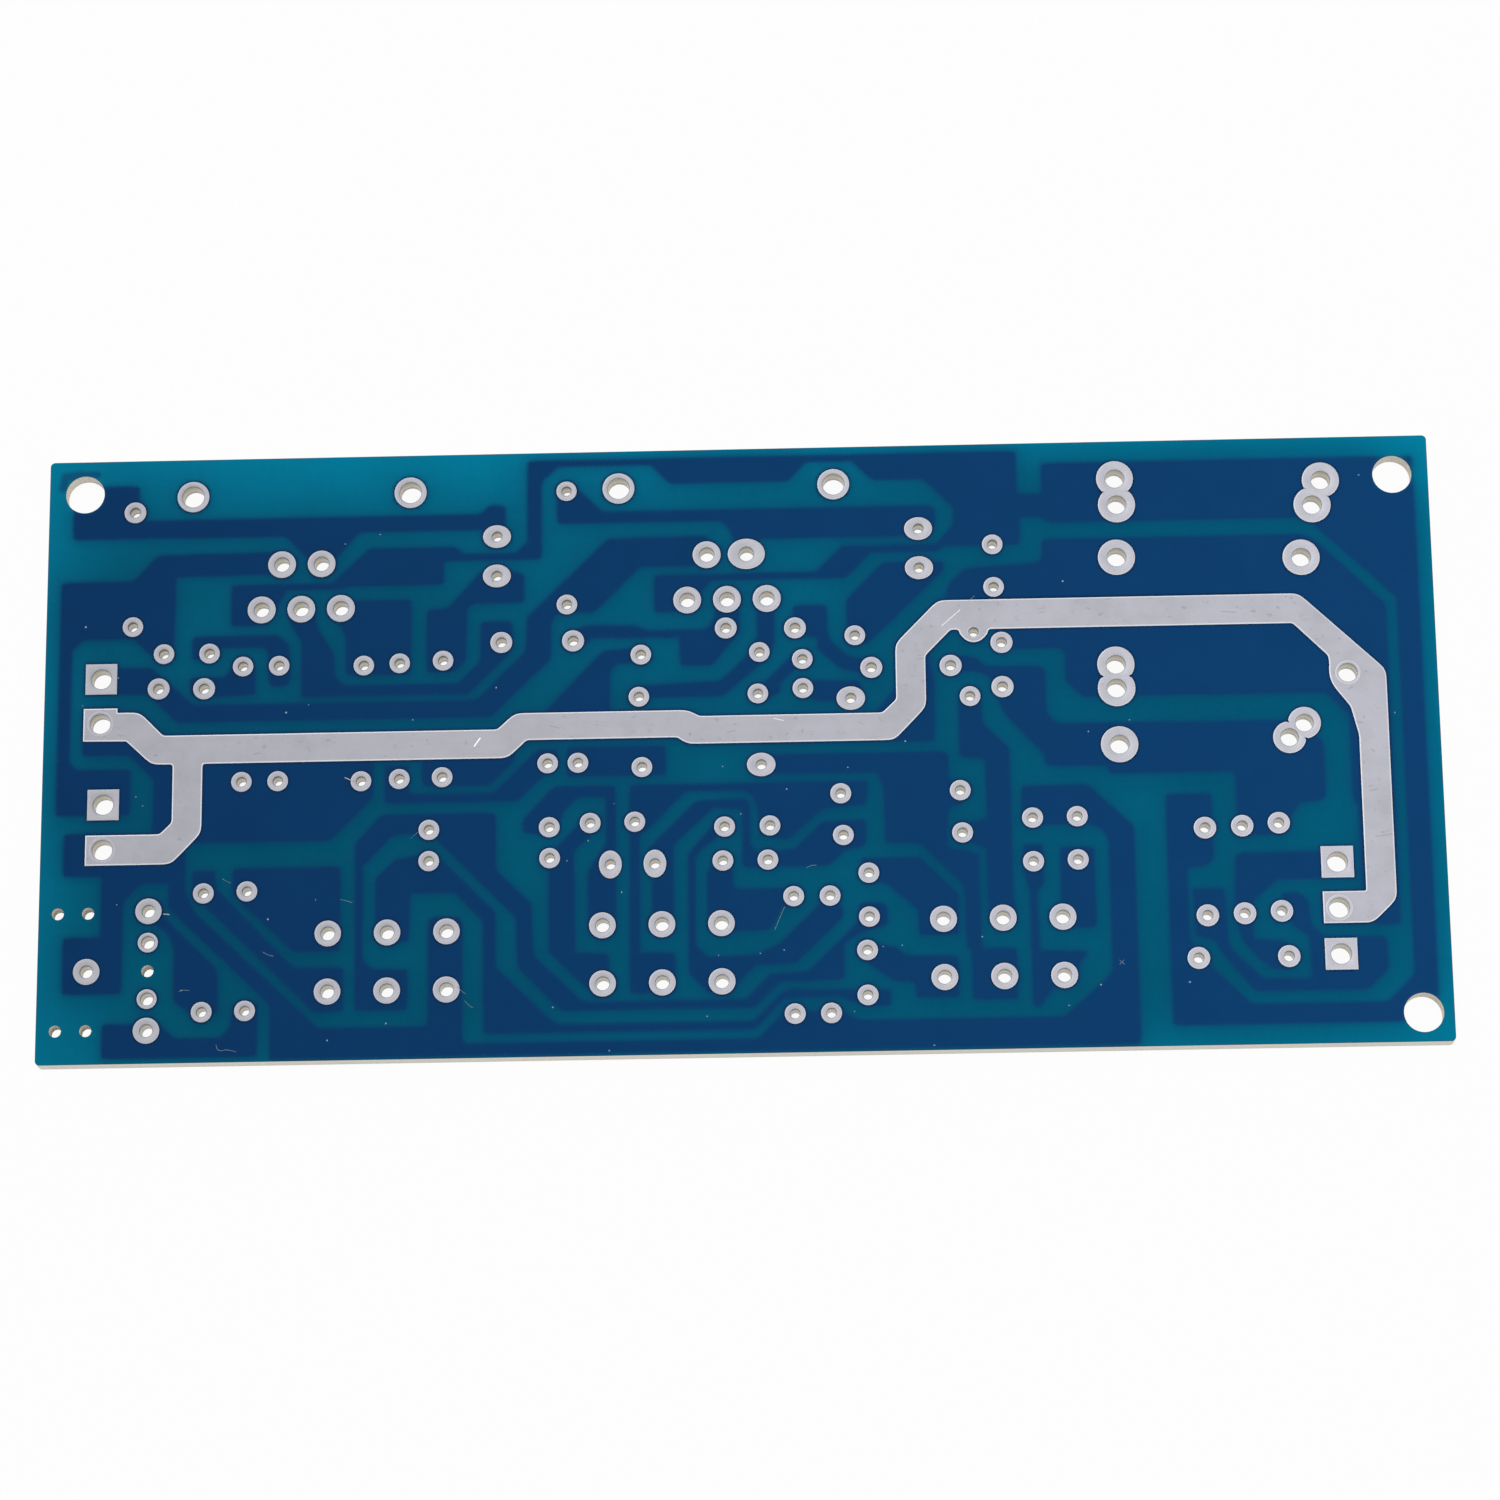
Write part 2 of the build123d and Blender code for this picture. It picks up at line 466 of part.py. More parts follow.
# Tone circuit, right
copper_net(
    "copper_mid_wiper_upper",
    lands(control, control_b[1]) + lands(upright_oval, (52.02, 16.41))
    + lands(lead, (61.54, 16.57), (67.92, 18.59)),
    [(51.75, 12.0), (51.75, 15.3), (51.2, 16.4), (51.5, 17.8), (55.5, 21.8), (59.8, 21.95),
     (60.1, 21.5), (60.1, 18.0), (60.7, 17.2), (63.8, 17.5), (66.2, 19.8), (69.85, 19.9),
     (69.85, 17.7), (68.0, 17.2), (66.7, 16.0), (59.6, 15.9), (59.4, 16.1), (59.4, 21.0),
     (57.0, 21.15), (53.6, 18.0), (53.6, 12.0)])
copper_net(
    "copper_mid_wiper_lower",
    lands(control, control_b[4]) + lands(lead, (50.34, 20.08), (61.75, 19.54), (67.76, 22.23)),
    [(49.85, 5.25), (53.7, 5.25), (53.7, 8.7), (50.75, 8.75), (50.75, 19.0), (51.3, 19.2),
     (54.6, 22.6), (59.6, 22.6), (60.4, 22.0), (60.8, 20.6), (60.9, 18.6), (63.3, 18.3),
     (66.2, 20.9), (69.9, 21.2), (70.1, 23.3), (49.9, 23.3)])
copper_net(
    "copper_mid_high_upper",
    lands(control, control_b[2]) + lands(lead, (57.75, 16.56), (63.66, 13.37)),
    [(56.4, 11.4), (56.4, 15.6), (57.0, 16.5), (58.6, 16.4), (58.6, 14.3), (58.9, 14.1),
     (63.6, 14.1), (63.6, 12.5), (62.7, 12.5), (61.7, 10.5), (58.4, 10.4)])
copper_net(
    "copper_mid_high_lower",
    lands(control, control_b[5]) + lands(lead, (57.92, 19.51), (66.72, 13.36)),
    [(54.8, 6.9), (54.8, 17.2), (57.4, 20.2), (58.5, 19.6), (55.8, 17.4), (55.45, 16.8),
     (55.45, 9.3), (56.4, 8.25), (60.5, 8.4), (62.4, 9.3), (66.2, 13.0), (67.5, 13.0),
     (67.9, 11.6), (63.7, 7.55), (60.4, 7.5), (58.4, 5.4), (56.4, 5.2)])
copper_net(
    "copper_treble_low_left",
    lands(lead, (69.78, 8.62)) + lands(control, control_c[3]),
    [(70.0, 9.2), (72.3, 8.8), (72.9, 8.1), (77.4, 8.0), (77.4, 4.45), (73.8, 4.45), (73.7, 5.8),
     (72.0, 5.9), (69.2, 7.9)])
copper_net(
    "copper_treble_high_left",
    lands(lead, (70.01, 15.28)) + lands(control, control_c[0]),
    [(69.3, 16.55), (74.3, 16.55), (77.5, 13.3), (77.5, 9.8), (74.1, 9.8), (74.1, 12.0),
     (71.4, 14.4), (70.0, 14.4)])
copper_net(
    "copper_treble_wiper_low",
    lands(oval, (61.08, 24.88)) + lands(lead, (77.85, 22.31)) + lands(control, control_c[4]),
    [(61.0, 25.75), (76.6, 25.75), (76.9, 25.4), (76.9, 23.3), (78.0, 23.2), (78.0, 21.0),
     (77.0, 20.9), (76.7, 20.2), (76.7, 17.3), (79.3, 16.8), (79.35, 8.6), (82.3, 8.6),
     (82.3, 4.2), (78.5, 4.2), (78.5, 8.6), (78.1, 8.6), (78.0, 14.0), (74.3, 17.8), (71.45, 17.8),
     (71.4, 22.5), (70.9, 24.0), (61.0, 24.0)])
copper_net(
    "copper_treble_wiper_high",
    lands(control, control_c[1]) + lands(lead, (77.96, 18.62), (78.87, 30.55)),
    [(77.85, 30.5), (77.85, 25.2), (80.0, 25.05), (80.05, 19.8), (78.0, 19.4), (78.0, 17.9),
     (79.9, 17.3), (80.0, 11.2), (82.4, 11.2), (82.1, 13.5), (82.1, 25.9), (79.9, 28.1),
     (79.8, 30.5)])
copper_net(
    "copper_treble_low_right",
    lands(lead, (83.86, 16.01)) + lands(control, control_c[5]),
    [(83.0, 15.2), (83.0, 17.5), (84.7, 17.5), (84.7, 13.9), (84.15, 13.6), (84.2, 8.3),
     (88.3, 8.25), (86.2, 5.1), (85.2, 5.0), (84.0, 3.4), (83.5, 3.6), (83.45, 13.5)])
copper_net(
    "copper_treble_high_right",
    lands(lead, (87.61, 16.1)) + lands(control, control_c[2]),
    [(86.1, 10.2), (89.0, 10.2), (89.0, 17.2), (86.1, 17.2)])

# Lands that stand alone: the support pins and the jack's two spare contacts
for number, place in enumerate(support_pins, start=1):
    copper_net(f"copper_support_{number}", lands(pin, place))
for number, side in enumerate((1, -1), start=1):
    copper_net(f"copper_spare_{number}", lands(spare, (jack_x, jack_y + side * jack_spare_reach)))

# Laminate, drilled for every land, the corner screws and the jack's pegs
peg_places = [spot(jack_x, jack_y)]
for pegs in (jack_front_pegs, jack_rear_pegs):
    for side in (1, -1):
        peg_places.append(spot(jack_x - pegs, jack_y + side * jack_peg_reach))

with BuildPart() as laminate:
    with BuildSketch(level(0)):
        with Locations((board_length / 2, board_width / 2)):
            RectangleRounded(board_length, board_width, board_corner_radius)
        for place in corner_holes:
            drill_hole(corner_drill, place)
        for place in peg_places:
            drill_hole(peg_drill, place)
        for kind, place in drilled_lands:
            drill_hole(kind.drill, place)
    extrude(amount=board_thickness)
laminate.part.label = "laminate"
export_step(laminate.part, "parts/laminate.step")
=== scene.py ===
import math

import bmesh
import bpy
import numpy as np
from mathutils import Matrix, Vector, geometry


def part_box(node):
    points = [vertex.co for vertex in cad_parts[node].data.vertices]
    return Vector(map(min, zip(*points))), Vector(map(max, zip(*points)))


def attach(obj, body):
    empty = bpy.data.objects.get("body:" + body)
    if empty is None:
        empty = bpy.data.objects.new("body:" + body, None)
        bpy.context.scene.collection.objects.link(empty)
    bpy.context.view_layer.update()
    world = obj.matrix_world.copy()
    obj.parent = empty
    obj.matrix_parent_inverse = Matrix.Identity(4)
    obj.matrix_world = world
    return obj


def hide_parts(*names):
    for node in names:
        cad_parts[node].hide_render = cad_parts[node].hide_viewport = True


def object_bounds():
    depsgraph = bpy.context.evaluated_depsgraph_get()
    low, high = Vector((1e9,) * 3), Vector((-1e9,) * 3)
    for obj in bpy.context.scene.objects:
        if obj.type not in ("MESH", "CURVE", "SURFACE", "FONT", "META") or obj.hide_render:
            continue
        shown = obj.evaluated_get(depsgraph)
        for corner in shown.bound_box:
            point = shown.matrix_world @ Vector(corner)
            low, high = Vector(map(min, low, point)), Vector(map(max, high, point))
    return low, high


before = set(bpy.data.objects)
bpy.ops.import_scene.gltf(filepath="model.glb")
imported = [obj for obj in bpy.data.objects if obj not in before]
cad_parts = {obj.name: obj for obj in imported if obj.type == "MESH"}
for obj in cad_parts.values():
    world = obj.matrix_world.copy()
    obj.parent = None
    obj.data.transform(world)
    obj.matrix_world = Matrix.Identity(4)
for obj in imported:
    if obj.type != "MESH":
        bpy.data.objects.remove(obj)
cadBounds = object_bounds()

mm = 0.001
sameSpot = 1e-6    # metres within which two corners of an outline are one
boardLow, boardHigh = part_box("laminate")
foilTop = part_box("copper_ground")[1].z
busLow, busTop = (corner.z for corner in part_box("bus_tin"))


def onBoard(x, y, z=0.0):
    # a place in millimetres from the board's lower left corner
    return Vector((boardLow.x + x * mm, boardLow.y + y * mm, z))


def maths(tree, operation, *values):
    made = tree.nodes.new("ShaderNodeMath")
    made.operation = operation
    for place, value in enumerate(values):
        if isinstance(value, Wire):
            tree.links.new(value.socket, made.inputs[place])
        else:
            made.inputs[place].default_value = value
    return Wire(tree, made.outputs[0])


class Wire:
    # a socket that can be added, multiplied and so on
    def __init__(self, tree, socket):
        self.tree, self.socket = tree, socket

    def __add__(self, other):
        return maths(self.tree, "ADD", self, other)

    def __radd__(self, other):
        return maths(self.tree, "ADD", other, self)

    def __sub__(self, other):
        return maths(self.tree, "SUBTRACT", self, other)

    def __rsub__(self, other):
        return maths(self.tree, "SUBTRACT", other, self)

    def __mul__(self, other):
        return maths(self.tree, "MULTIPLY", self, other)

    def __rmul__(self, other):
        return maths(self.tree, "MULTIPLY", other, self)

    def __truediv__(self, other):
        return maths(self.tree, "DIVIDE", self, other)

    def __rtruediv__(self, other):
        return maths(self.tree, "DIVIDE", other, self)

    def __pow__(self, other):
        return maths(self.tree, "POWER", self, other)

    def atLeast(self, limit):
        return maths(self.tree, "MAXIMUM", self, limit)

    def atMost(self, limit):
        return maths(self.tree, "MINIMUM", self, limit)

    def size(self):
        return maths(self.tree, "ABSOLUTE", self)

    def sine(self):
        return maths(self.tree, "SINE", self)

    def cosine(self):
        return maths(self.tree, "COSINE", self)

    def clamped(self):
        return self.atLeast(0.0).atMost(1.0)

    def ramp(self, start, end):
        # 0 up to start, 1 from end, straight between them
        return ((self - start) / (end - start)).clamped()


class Plan:
    # a node tree, for a material, the world or Geometry Nodes
    def __init__(self, tree):
        self.tree = tree
        tree.nodes.clear()

    def join(self, socket, value):
        # the value is a wire, another node's output, a colour or a plain value
        if isinstance(value, Wire):
            self.tree.links.new(value.socket, socket)
        elif isinstance(value, bpy.types.NodeSocket):
            self.tree.links.new(value, socket)
        elif socket.type == "RGBA" and len(value) == 3:
            socket.default_value = (*value, 1.0)
        else:
            socket.default_value = value

    def node(self, kind, settings=None, values=None):
        # values go by the socket's name or its place
        made = self.tree.nodes.new(kind)
        for name, value in (settings or {}).items():
            setattr(made, name, value)
        for name, value in (values or {}).items():
            self.join(made.inputs[name], value)
        return made

    def wire(self, node, output=0):
        return Wire(self.tree, node.outputs[output])

    def seen(self):
        # 1 where the camera looks, by way of metal or glass too
        path = self.node("ShaderNodeLightPath")
        straight, mirrored = self.wire(path, "Is Camera Ray"), self.wire(path, "Is Glossy Ray")
        return straight.atLeast(mirrored).atLeast(self.wire(path, "Is Transmission Ray"))


# how a mark wavers, and the shares of its half width where it starts to fade and has gone
strokeLook = {"waver": 0.04 * mm, "waves": 3000.0, "solid": 0.4, "end": 1.4}


class Finish(Plan):
    # one material; noise scales are in waves per metre
    def __init__(self, name, **fixed):
        self.material = bpy.data.materials.new(name)
        self.material.use_nodes = True
        super().__init__(self.material.node_tree)
        self.shader = self.node("ShaderNodeBsdfPrincipled", {}, fixed)
        self.output = self.node("ShaderNodeOutputMaterial", {}, {"Surface": self.shader.outputs[0]})
        self.coordinates = self.node("ShaderNodeTexCoord").outputs["Object"]

    def noise(self, scale, detail=2.0, roughness=0.5, stretch=(1.0, 1.0, 1.0)):
        # 0 to 1, round 0.5
        placed = self.node("ShaderNodeMapping", {}, {"Vector": self.coordinates, "Scale": stretch})
        made = self.node("ShaderNodeTexNoise", {}, {
            "Vector": placed.outputs[0], "Scale": scale, "Detail": detail, "Roughness": roughness})
        return self.wire(made, "Fac")

    def attribute(self, name):
        return self.wire(self.node("ShaderNodeAttribute", {"attribute_name": name}), "Fac")

    def axes(self):
        made = self.node("ShaderNodeSeparateXYZ", {}, {"Vector": self.coordinates})
        return [self.wire(made, place) for place in range(3)]

    def boardShares(self):
        # 0 to 1 along the board, up it and through it
        return [(axis - low) / (high - low) for axis, low, high in zip(self.axes(), boardLow, boardHigh)]

    def mix(self, first, second, factor):
        made = self.node("ShaderNodeMix", {"data_type": "RGBA"}, {0: factor, 6: first, 7: second})
        return self.wire(made, 2)

    def brightened(self, colour, amount):
        # a colour times a value that varies round 1
        made = self.node("ShaderNodeVectorMath", {"operation": "SCALE"}, {0: colour, "Scale": amount})
        return self.wire(made)

    def strokes(self, marks):
        # 1 along short straight marks, soft at their sides, 0 elsewhere
        x, y = self.axes()[:2]
        waver = strokeLook["waver"] * (self.noise(strokeLook["waves"]) - 0.5)
        found = None
        for beginning, ending, halfWidth in marks:
            first = onBoard(*beginning)
            run = onBoard(*ending) - first
            along = (((x - first.x) * run.x + (y - first.y) * run.y) / run.length_squared).clamped()
            aside = (x - first.x - along * run.x + waver) ** 2.0 + (y - first.y - along * run.y) ** 2.0
            solid, end = strokeLook["solid"] * halfWidth * mm, strokeLook["end"] * halfWidth * mm
            near = 1.0 - (aside ** 0.5).ramp(solid, end)
            found = near if found is None else found.atLeast(near)
        return found

    def bump(self, height, distance, strength):
        return self.wire(self.node("ShaderNodeBump", {}, {
            "Height": height, "Distance": distance, "Strength": strength}))

    def put(self, **links):
        for name, value in links.items():
            self.join(self.shader.inputs[name.replace("_", " ")], value)
        return self.material


maskLook = {
    "deepTeal": (0.0003, 0.0985, 0.1790),     # painted shade: the teal where copper lies close on both sides
    "paleTeal": (0.0003, 0.2200, 0.3670),     # painted glow through the laminate: the teal where no copper is near
    # painted light: the navy is shaded at the board's left end and lit at its right
    "shadedNavyLeft": (0.0033, 0.0397, 0.1346),
    "litNavyRight": (0.0052, 0.0601, 0.1900),
    "outline": (0.001, 0.008, 0.024),         # painted shadow where the varnish meets the tin
    "paintedShadowShare": 0.75,
    "sheen": 0.015,
    "cloud": 260.0,
    "grain": 5200.0,
    "weave": 2600.0,
    "peel": 1500.0,
    "peelHeight": 0.012 * mm,
    "grainHeight": 0.01 * mm,
    # a darker grey smear round a corner hole: start, end and half width, millimetres
    "smear": (0.0045, 0.074, 0.185),
    "smearShare": 0.8,
    "smears": [((4.1, 51.95), (2.7, 51.95), 0.32), ((2.7, 51.9), (1.35, 51.75), 0.46),
               ((1.35, 51.75), (1.15, 50.8), 0.42)],
}


class Varnish(Finish):
    # blue solder mask: what the sheet and the foil under it share
    def __init__(self, name):
        super().__init__(name, **{"Specular IOR Level": maskLook["sheen"]})
        self.cloud = self.noise(maskLook["cloud"], 3.0, 0.55)
        self.grain = self.noise(maskLook["grain"], 2.0, 0.6)
        self.along, self.upward = self.boardShares()[:2]
        # painted light: navy graded from the shaded left end to the lit right end
        self.navy = self.mix(maskLook["shadedNavyLeft"], maskLook["litNavyRight"], self.along)
        self.tone = 0.90 + 0.14 * self.cloud + 0.06 * self.grain
        self.put(Roughness=0.30 + 0.14 * self.cloud + 0.05 * self.grain)


def makeMaskFinish():
    # teal over bare laminate, navy over copper, with painted light and shade on both
    finish = Varnish("solderMask")
    # painted light: the teal glows where the board is far from copper and is shaded in narrow channels
    openness = finish.attribute("paintedGlowShare")
    spread = (1.5 * openness * openness - 0.5 * openness).clamped()
    teal = finish.mix(maskLook["deepTeal"], maskLook["paleTeal"], spread)
    # painted light: the teal brightens towards the board's right end and its upper side
    teal = finish.brightened(teal, 0.80 + 0.26 * finish.along + 0.18 * finish.upward)
    warp = finish.noise(maskLook["weave"], 1.0, 0.4, (1.0, 0.12, 1.0))
    weft = finish.noise(maskLook["weave"], 1.0, 0.4, (0.12, 1.0, 1.0))
    teal = finish.brightened(teal, 0.94 + 0.06 * (warp + weft))
    # navy over the copper itself, and a painted shade on the varnish beside it
    colour = finish.mix(teal, finish.navy, finish.attribute("copperCover"))
    colour = finish.brightened(colour, finish.tone)
    # painted shadow: a dark line on the varnish round the foot of every land and the bus
    outline = (finish.attribute("landShade") * maskLook["paintedShadowShare"]).clamped()
    colour = finish.mix(colour, maskLook["outline"], outline)
    smeared = maskLook["smearShare"] * finish.strokes(maskLook["smears"])
    colour = finish.mix(colour, maskLook["smear"], smeared)
    height = finish.noise(maskLook["peel"], 2.0, 0.5) * 0.6 + finish.grain * 0.4
    return finish.put(Base_Color=colour, Normal=finish.bump(height, maskLook["peelHeight"], 0.5))


def makeCopperFinish():
    # the foil where it shows under its mask, navy with the same painted light from left to right
    finish = Varnish("maskedCopper")
    return finish.put(Base_Color=finish.brightened(finish.navy, finish.tone),
                      Normal=finish.bump(finish.grain, maskLook["grainHeight"], 0.4))


laminateLook = {
    "cream": (0.90, 0.87, 0.80),
    "fibre": (0.74, 0.69, 0.58),
    "teal": (0.0008, 0.062, 0.130),
    "tealAgain": (0.0010, 0.092, 0.178),
    "plies": 8,
    "plyWaver": 900.0,
    "strands": 4200.0,
    "strandHeight": 0.03 * mm,
    "skin": (0.002, 0.006),      # the share of the thickness over which the varnish ends
}


def makeLaminateFinish():
    # mask on the flat sides, glass fibre plies on what was sawn or drilled
    finish = Finish("glassFibre", **{"Specular IOR Level": 0.25})
    depth = finish.boardShares()[2]
    waver = finish.noise(laminateLook["plyWaver"], 2.0, 0.5)
    band = ((depth * laminateLook["plies"] + 0.5 * waver) * math.tau).sine()
    strands = finish.noise(laminateLook["strands"], 3.0, 0.6, (1.0, 1.0, 0.25))
    wall = finish.mix(laminateLook["cream"], laminateLook["fibre"],
                      (0.30 + 0.22 * band + 0.5 * (strands - 0.5)).clamped())
    cloud = finish.noise(maskLook["cloud"], 3.0, 0.55)
    face = finish.mix(laminateLook["teal"], laminateLook["tealAgain"], cloud)
    start, end = laminateLook["skin"]
    skin = (1.0 - depth.ramp(start, end)).atLeast(depth.ramp(1.0 - end, 1.0 - start))
    height = strands * (1.0 - skin) + 0.2 * cloud
    return finish.put(Base_Color=finish.mix(wall, face, skin),
                      Roughness=0.72 - 0.36 * skin + 0.12 * (cloud - 0.5),
                      Normal=finish.bump(height, laminateLook["strandHeight"], 0.5))


tinLook = {
    "bright": (0.62, 0.62, 0.67),
    "dull": (0.38, 0.38, 0.43),
    "bore": (0.36, 0.31, 0.19),
    # painted shadow at the foot of the tin
    "paintedFootShadow": (0.045, 0.055, 0.075),
    # painted light across the board: the tin is shaded at the left end and lit at the right
    "leftShade": 0.755,
    "paintedLightGain": 0.31,
    "metal": 0.85,
    "cloud": 900.0,
    "grain": 9000.0,
    "unevenness": 0.02 * mm,
    # shares of the board's thickness: where the bore darkens, and where the painted shadow at the foot of the
    # tin ends
    "boreFoot": (0.02, 0.12),
    "boreTop": (0.90, 1.06),
    "footTop": (1.035, 1.075),
}


def shaded(finish, colour, along):
    # painted light: the tin is shaded towards the board's left end and lit towards its right
    return finish.brightened(colour, tinLook["leftShade"] + tinLook["paintedLightGain"] * along)


def makeLandFinish():
    # levelled tin on the lands, darker and browner down the bores, with a painted highlight on their rims
    finish = Finish("levelledTin", Metallic=tinLook["metal"])
    along, upward, depth = finish.boardShares()
    nearBore = 1.0 - finish.attribute("reach").ramp(0.2, 0.5)
    inside = depth.ramp(*tinLook["boreFoot"]) * (1.0 - depth.ramp(*tinLook["boreTop"])) * nearBore
    cloud = finish.noise(tinLook["cloud"], 3.0, 0.6)
    grain = finish.noise(tinLook["grain"], 2.0, 0.6)
    edge = finish.attribute("edge")
    # painted shadow: the lowest corners of a land's rim turn dark navy
    paintedFootShadow = edge * (1.0 - depth.ramp(*tinLook["footTop"]))
    # painted highlight: the tin is paler on the land's rim, where the edge mark is 1
    colour = finish.mix(tinLook["dull"], tinLook["bright"], (0.55 * cloud + 0.75 * edge).clamped())
    colour = finish.mix(shaded(finish, colour, along), tinLook["bore"], inside * 0.85)
    colour = finish.mix(colour, tinLook["paintedFootShadow"], paintedFootShadow * 0.8)
    rough = (0.40 + 0.18 * cloud + 0.06 * grain) * (1.0 - 0.55 * inside)
    return finish.put(Base_Color=colour, Roughness=rough,
                      Normal=finish.bump(cloud * 0.6 + grain * 0.4, tinLook["unevenness"], 0.4))


busLook = {
    "clean": (0.41, 0.41, 0.46),
    "tarnish": (0.35, 0.355, 0.39),
    "smudge": (0.14, 0.14, 0.15),
    # the colour of real scratches, and of the painted highlight along the bus's edge
    "scratchAndHighlight": (0.80, 0.80, 0.84),
    "cloud": 340.0,
    "streak": 1500.0,
    "blot": 620.0,
    "fleck": 2300.0,
    "grain": 8000.0,
    # start, end and half width of each mark, millimetres on the board
    "scratches": [((36.75, 26.95), (37.25, 27.65), 0.05), ((76.6, 36.8), (78.2, 38.2), 0.025),
                  ((62.2, 28.9), (63.0, 28.7), 0.03)],
    "rubs": [((112.3, 21.6), (112.9, 21.7), 0.05), ((112.6, 17.6), (114.1, 17.8), 0.05),
             ((100.4, 37.6), (101.6, 37.5), 0.05), ((58.2, 27.7), (58.9, 27.9), 0.05),
             ((43.2, 28.6), (44.0, 28.4), 0.05), ((18.0, 26.6), (18.5, 26.7), 0.06),
             ((74.3, 35.1), (74.38, 35.2), 0.05), ((74.5, 34.2), (75.1, 34.25), 0.03),
             ((74.5, 33.9), (75.0, 33.95), 0.03), ((82.8, 37.3), (83.0, 37.55), 0.03),
             ((84.8, 38.1), (85.4, 38.25), 0.03), ((84.9, 37.8), (85.5, 37.9), 0.03),
             ((69.3, 28.5), (69.8, 28.2), 0.03), ((71.1, 28.8), (71.4, 28.4), 0.03),
             ((66.9, 28.9), (67.3, 28.8), 0.03)],
}


def makeBusFinish():
    # the same tin drawn out along the bus, with finger marks, scratches and a painted highlight along its
    # edge
    finish = Finish("busTinFinish", Metallic=tinLook["metal"])
    cloud = finish.noise(busLook["cloud"], 4.0, 0.6)
    streak = finish.noise(busLook["streak"], 3.0, 0.6, (0.12, 1.0, 1.0))
    blot = finish.noise(busLook["blot"], 4.0, 0.7)
    fleck = finish.noise(busLook["fleck"], 2.0, 0.5, (0.6, 1.0, 1.0))
    grain = finish.noise(busLook["grain"], 2.0, 0.6)
    scratches = finish.strokes(busLook["scratches"])
    rubs = finish.strokes(busLook["rubs"])
    colour = finish.mix(busLook["tarnish"], busLook["clean"], cloud.ramp(0.28, 0.60))
    colour = finish.brightened(colour, 0.94 + 0.08 * streak + 0.04 * grain)
    # painted light: the bus tin is shaded at the board's left end and lit at the right
    colour = shaded(finish, colour, finish.boardShares()[0])
    worn = (0.45 * blot.ramp(0.66, 0.76)).atLeast(0.30 * fleck.ramp(0.66, 0.73)).atLeast(0.35 * rubs)
    colour = finish.mix(colour, busLook["smudge"], worn)
    # painted highlight: the bus's rounded edge is painted bright, like its real scratches
    bright = (0.9 * scratches).atLeast(0.75 * finish.attribute("edge"))
    colour = finish.mix(colour, busLook["scratchAndHighlight"], bright)
    height = streak * 0.5 + grain * 0.5 - 2.0 * scratches
    return finish.put(Base_Color=colour, Roughness=0.38 + 0.16 * cloud + 0.1 * blot - 0.2 * scratches,
                      Normal=finish.bump(height, tinLook["unevenness"], 0.4))


maskFinish = makeMaskFinish()
copperFinish = makeCopperFinish()
laminateFinish = makeLaminateFinish()
landFinish = makeLandFinish()
busFinish = makeBusFinish()


def dress(node, material):
    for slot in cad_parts[node].material_slots:
        slot.material = material


foils = [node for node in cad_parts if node.startswith("copper")]
for node in foils:
    dress(node, copperFinish)
dress("laminate", laminateFinish)
print("finishes made")


def newMesh(name, vertices, faces):
    mesh = bpy.data.meshes.new(name)
    mesh.from_pydata(vertices, [], faces)
    return mesh


def mark(mesh, name, values):
    # one number for each corner of the mesh
    mesh.attributes.new(name, "FLOAT", "POINT").data.foreach_set("value", values)


def stand(name, data):
    made = bpy.data.objects.new(name, data)
    bpy.context.scene.collection.objects.link(made)
    return made


def meshOf(holder, name):
    # what a curve or a modifier shows, as a mesh of its own; the holder goes
    bpy.context.view_layer.update()
    mesh = bpy.data.meshes.new_from_object(holder.evaluated_get(bpy.context.evaluated_depsgraph_get()))
    bpy.data.objects.remove(holder)
    mesh.name = name
    return mesh


def coded(cells):
    # one number for each pair of whole numbers
    return cells[..., 0] * 1000003 + cells[..., 1]


def flatEdges(node):
    # the outline of a node's upper side: pairs of points, metres
    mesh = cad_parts[node].data
    mesh.calc_loop_triangles()
    places = np.empty(len(mesh.vertices) * 3)
    mesh.vertices.foreach_get("co", places)
    places = places.reshape(-1, 3)
    corners = np.empty(len(mesh.loop_triangles) * 3, np.int32)
    mesh.loop_triangles.foreach_get("vertices", corners)
    triangles = places[corners.reshape(-1, 3)]
    top = places[:, 2].max()
    triangles = triangles[(triangles[:, :, 2] > top - sameSpot).all(1)][:, :, :2]
    pairs = np.concatenate([triangles[:, [0, 1]], triangles[:, [1, 2]], triangles[:, [2, 0]]])
    code = coded(np.round(pairs / sameSpot).astype(np.int64))
    code.sort(axis=1)
    found, first, count = np.unique(code, axis=0, return_index=True, return_counts=True)
    return pairs[first[count == 1]]


# the filled drawings of copper and tin: width of a cell, and what lies round the board
drawingLook = {"step": 0.05 * mm, "margin": 7.0 * mm}
drawingCorner = np.array([boardLow.x, boardLow.y]) - drawingLook["margin"]
columns = int((boardHigh.x - boardLow.x + 2 * drawingLook["margin"]) / drawingLook["step"])
rows = int((boardHigh.y - boardLow.y + 2 * drawingLook["margin"]) / drawingLook["step"])


def fill(edges):
    # every edge flips what lies to its right, so the inside stays flipped
    flips = np.zeros((rows, columns + 1), np.int8)
    for start, end in (edges - drawingCorner) / drawingLook["step"]:
        if start[1] > end[1]:
            start, end = end, start
        low, high = math.ceil(start[1] - 0.5), math.ceil(end[1] - 0.5)
        if high > low:
            line = np.arange(low, high)
            crossing = start[0] + (line + 0.5 - start[1]) * (end[0] - start[0]) / (end[1] - start[1])
            np.add.at(flips, (line, np.ceil(crossing - 0.5).astype(int)), 1)
    return (np.cumsum(flips, axis=1) % 2)[:, :columns].astype(np.float32)


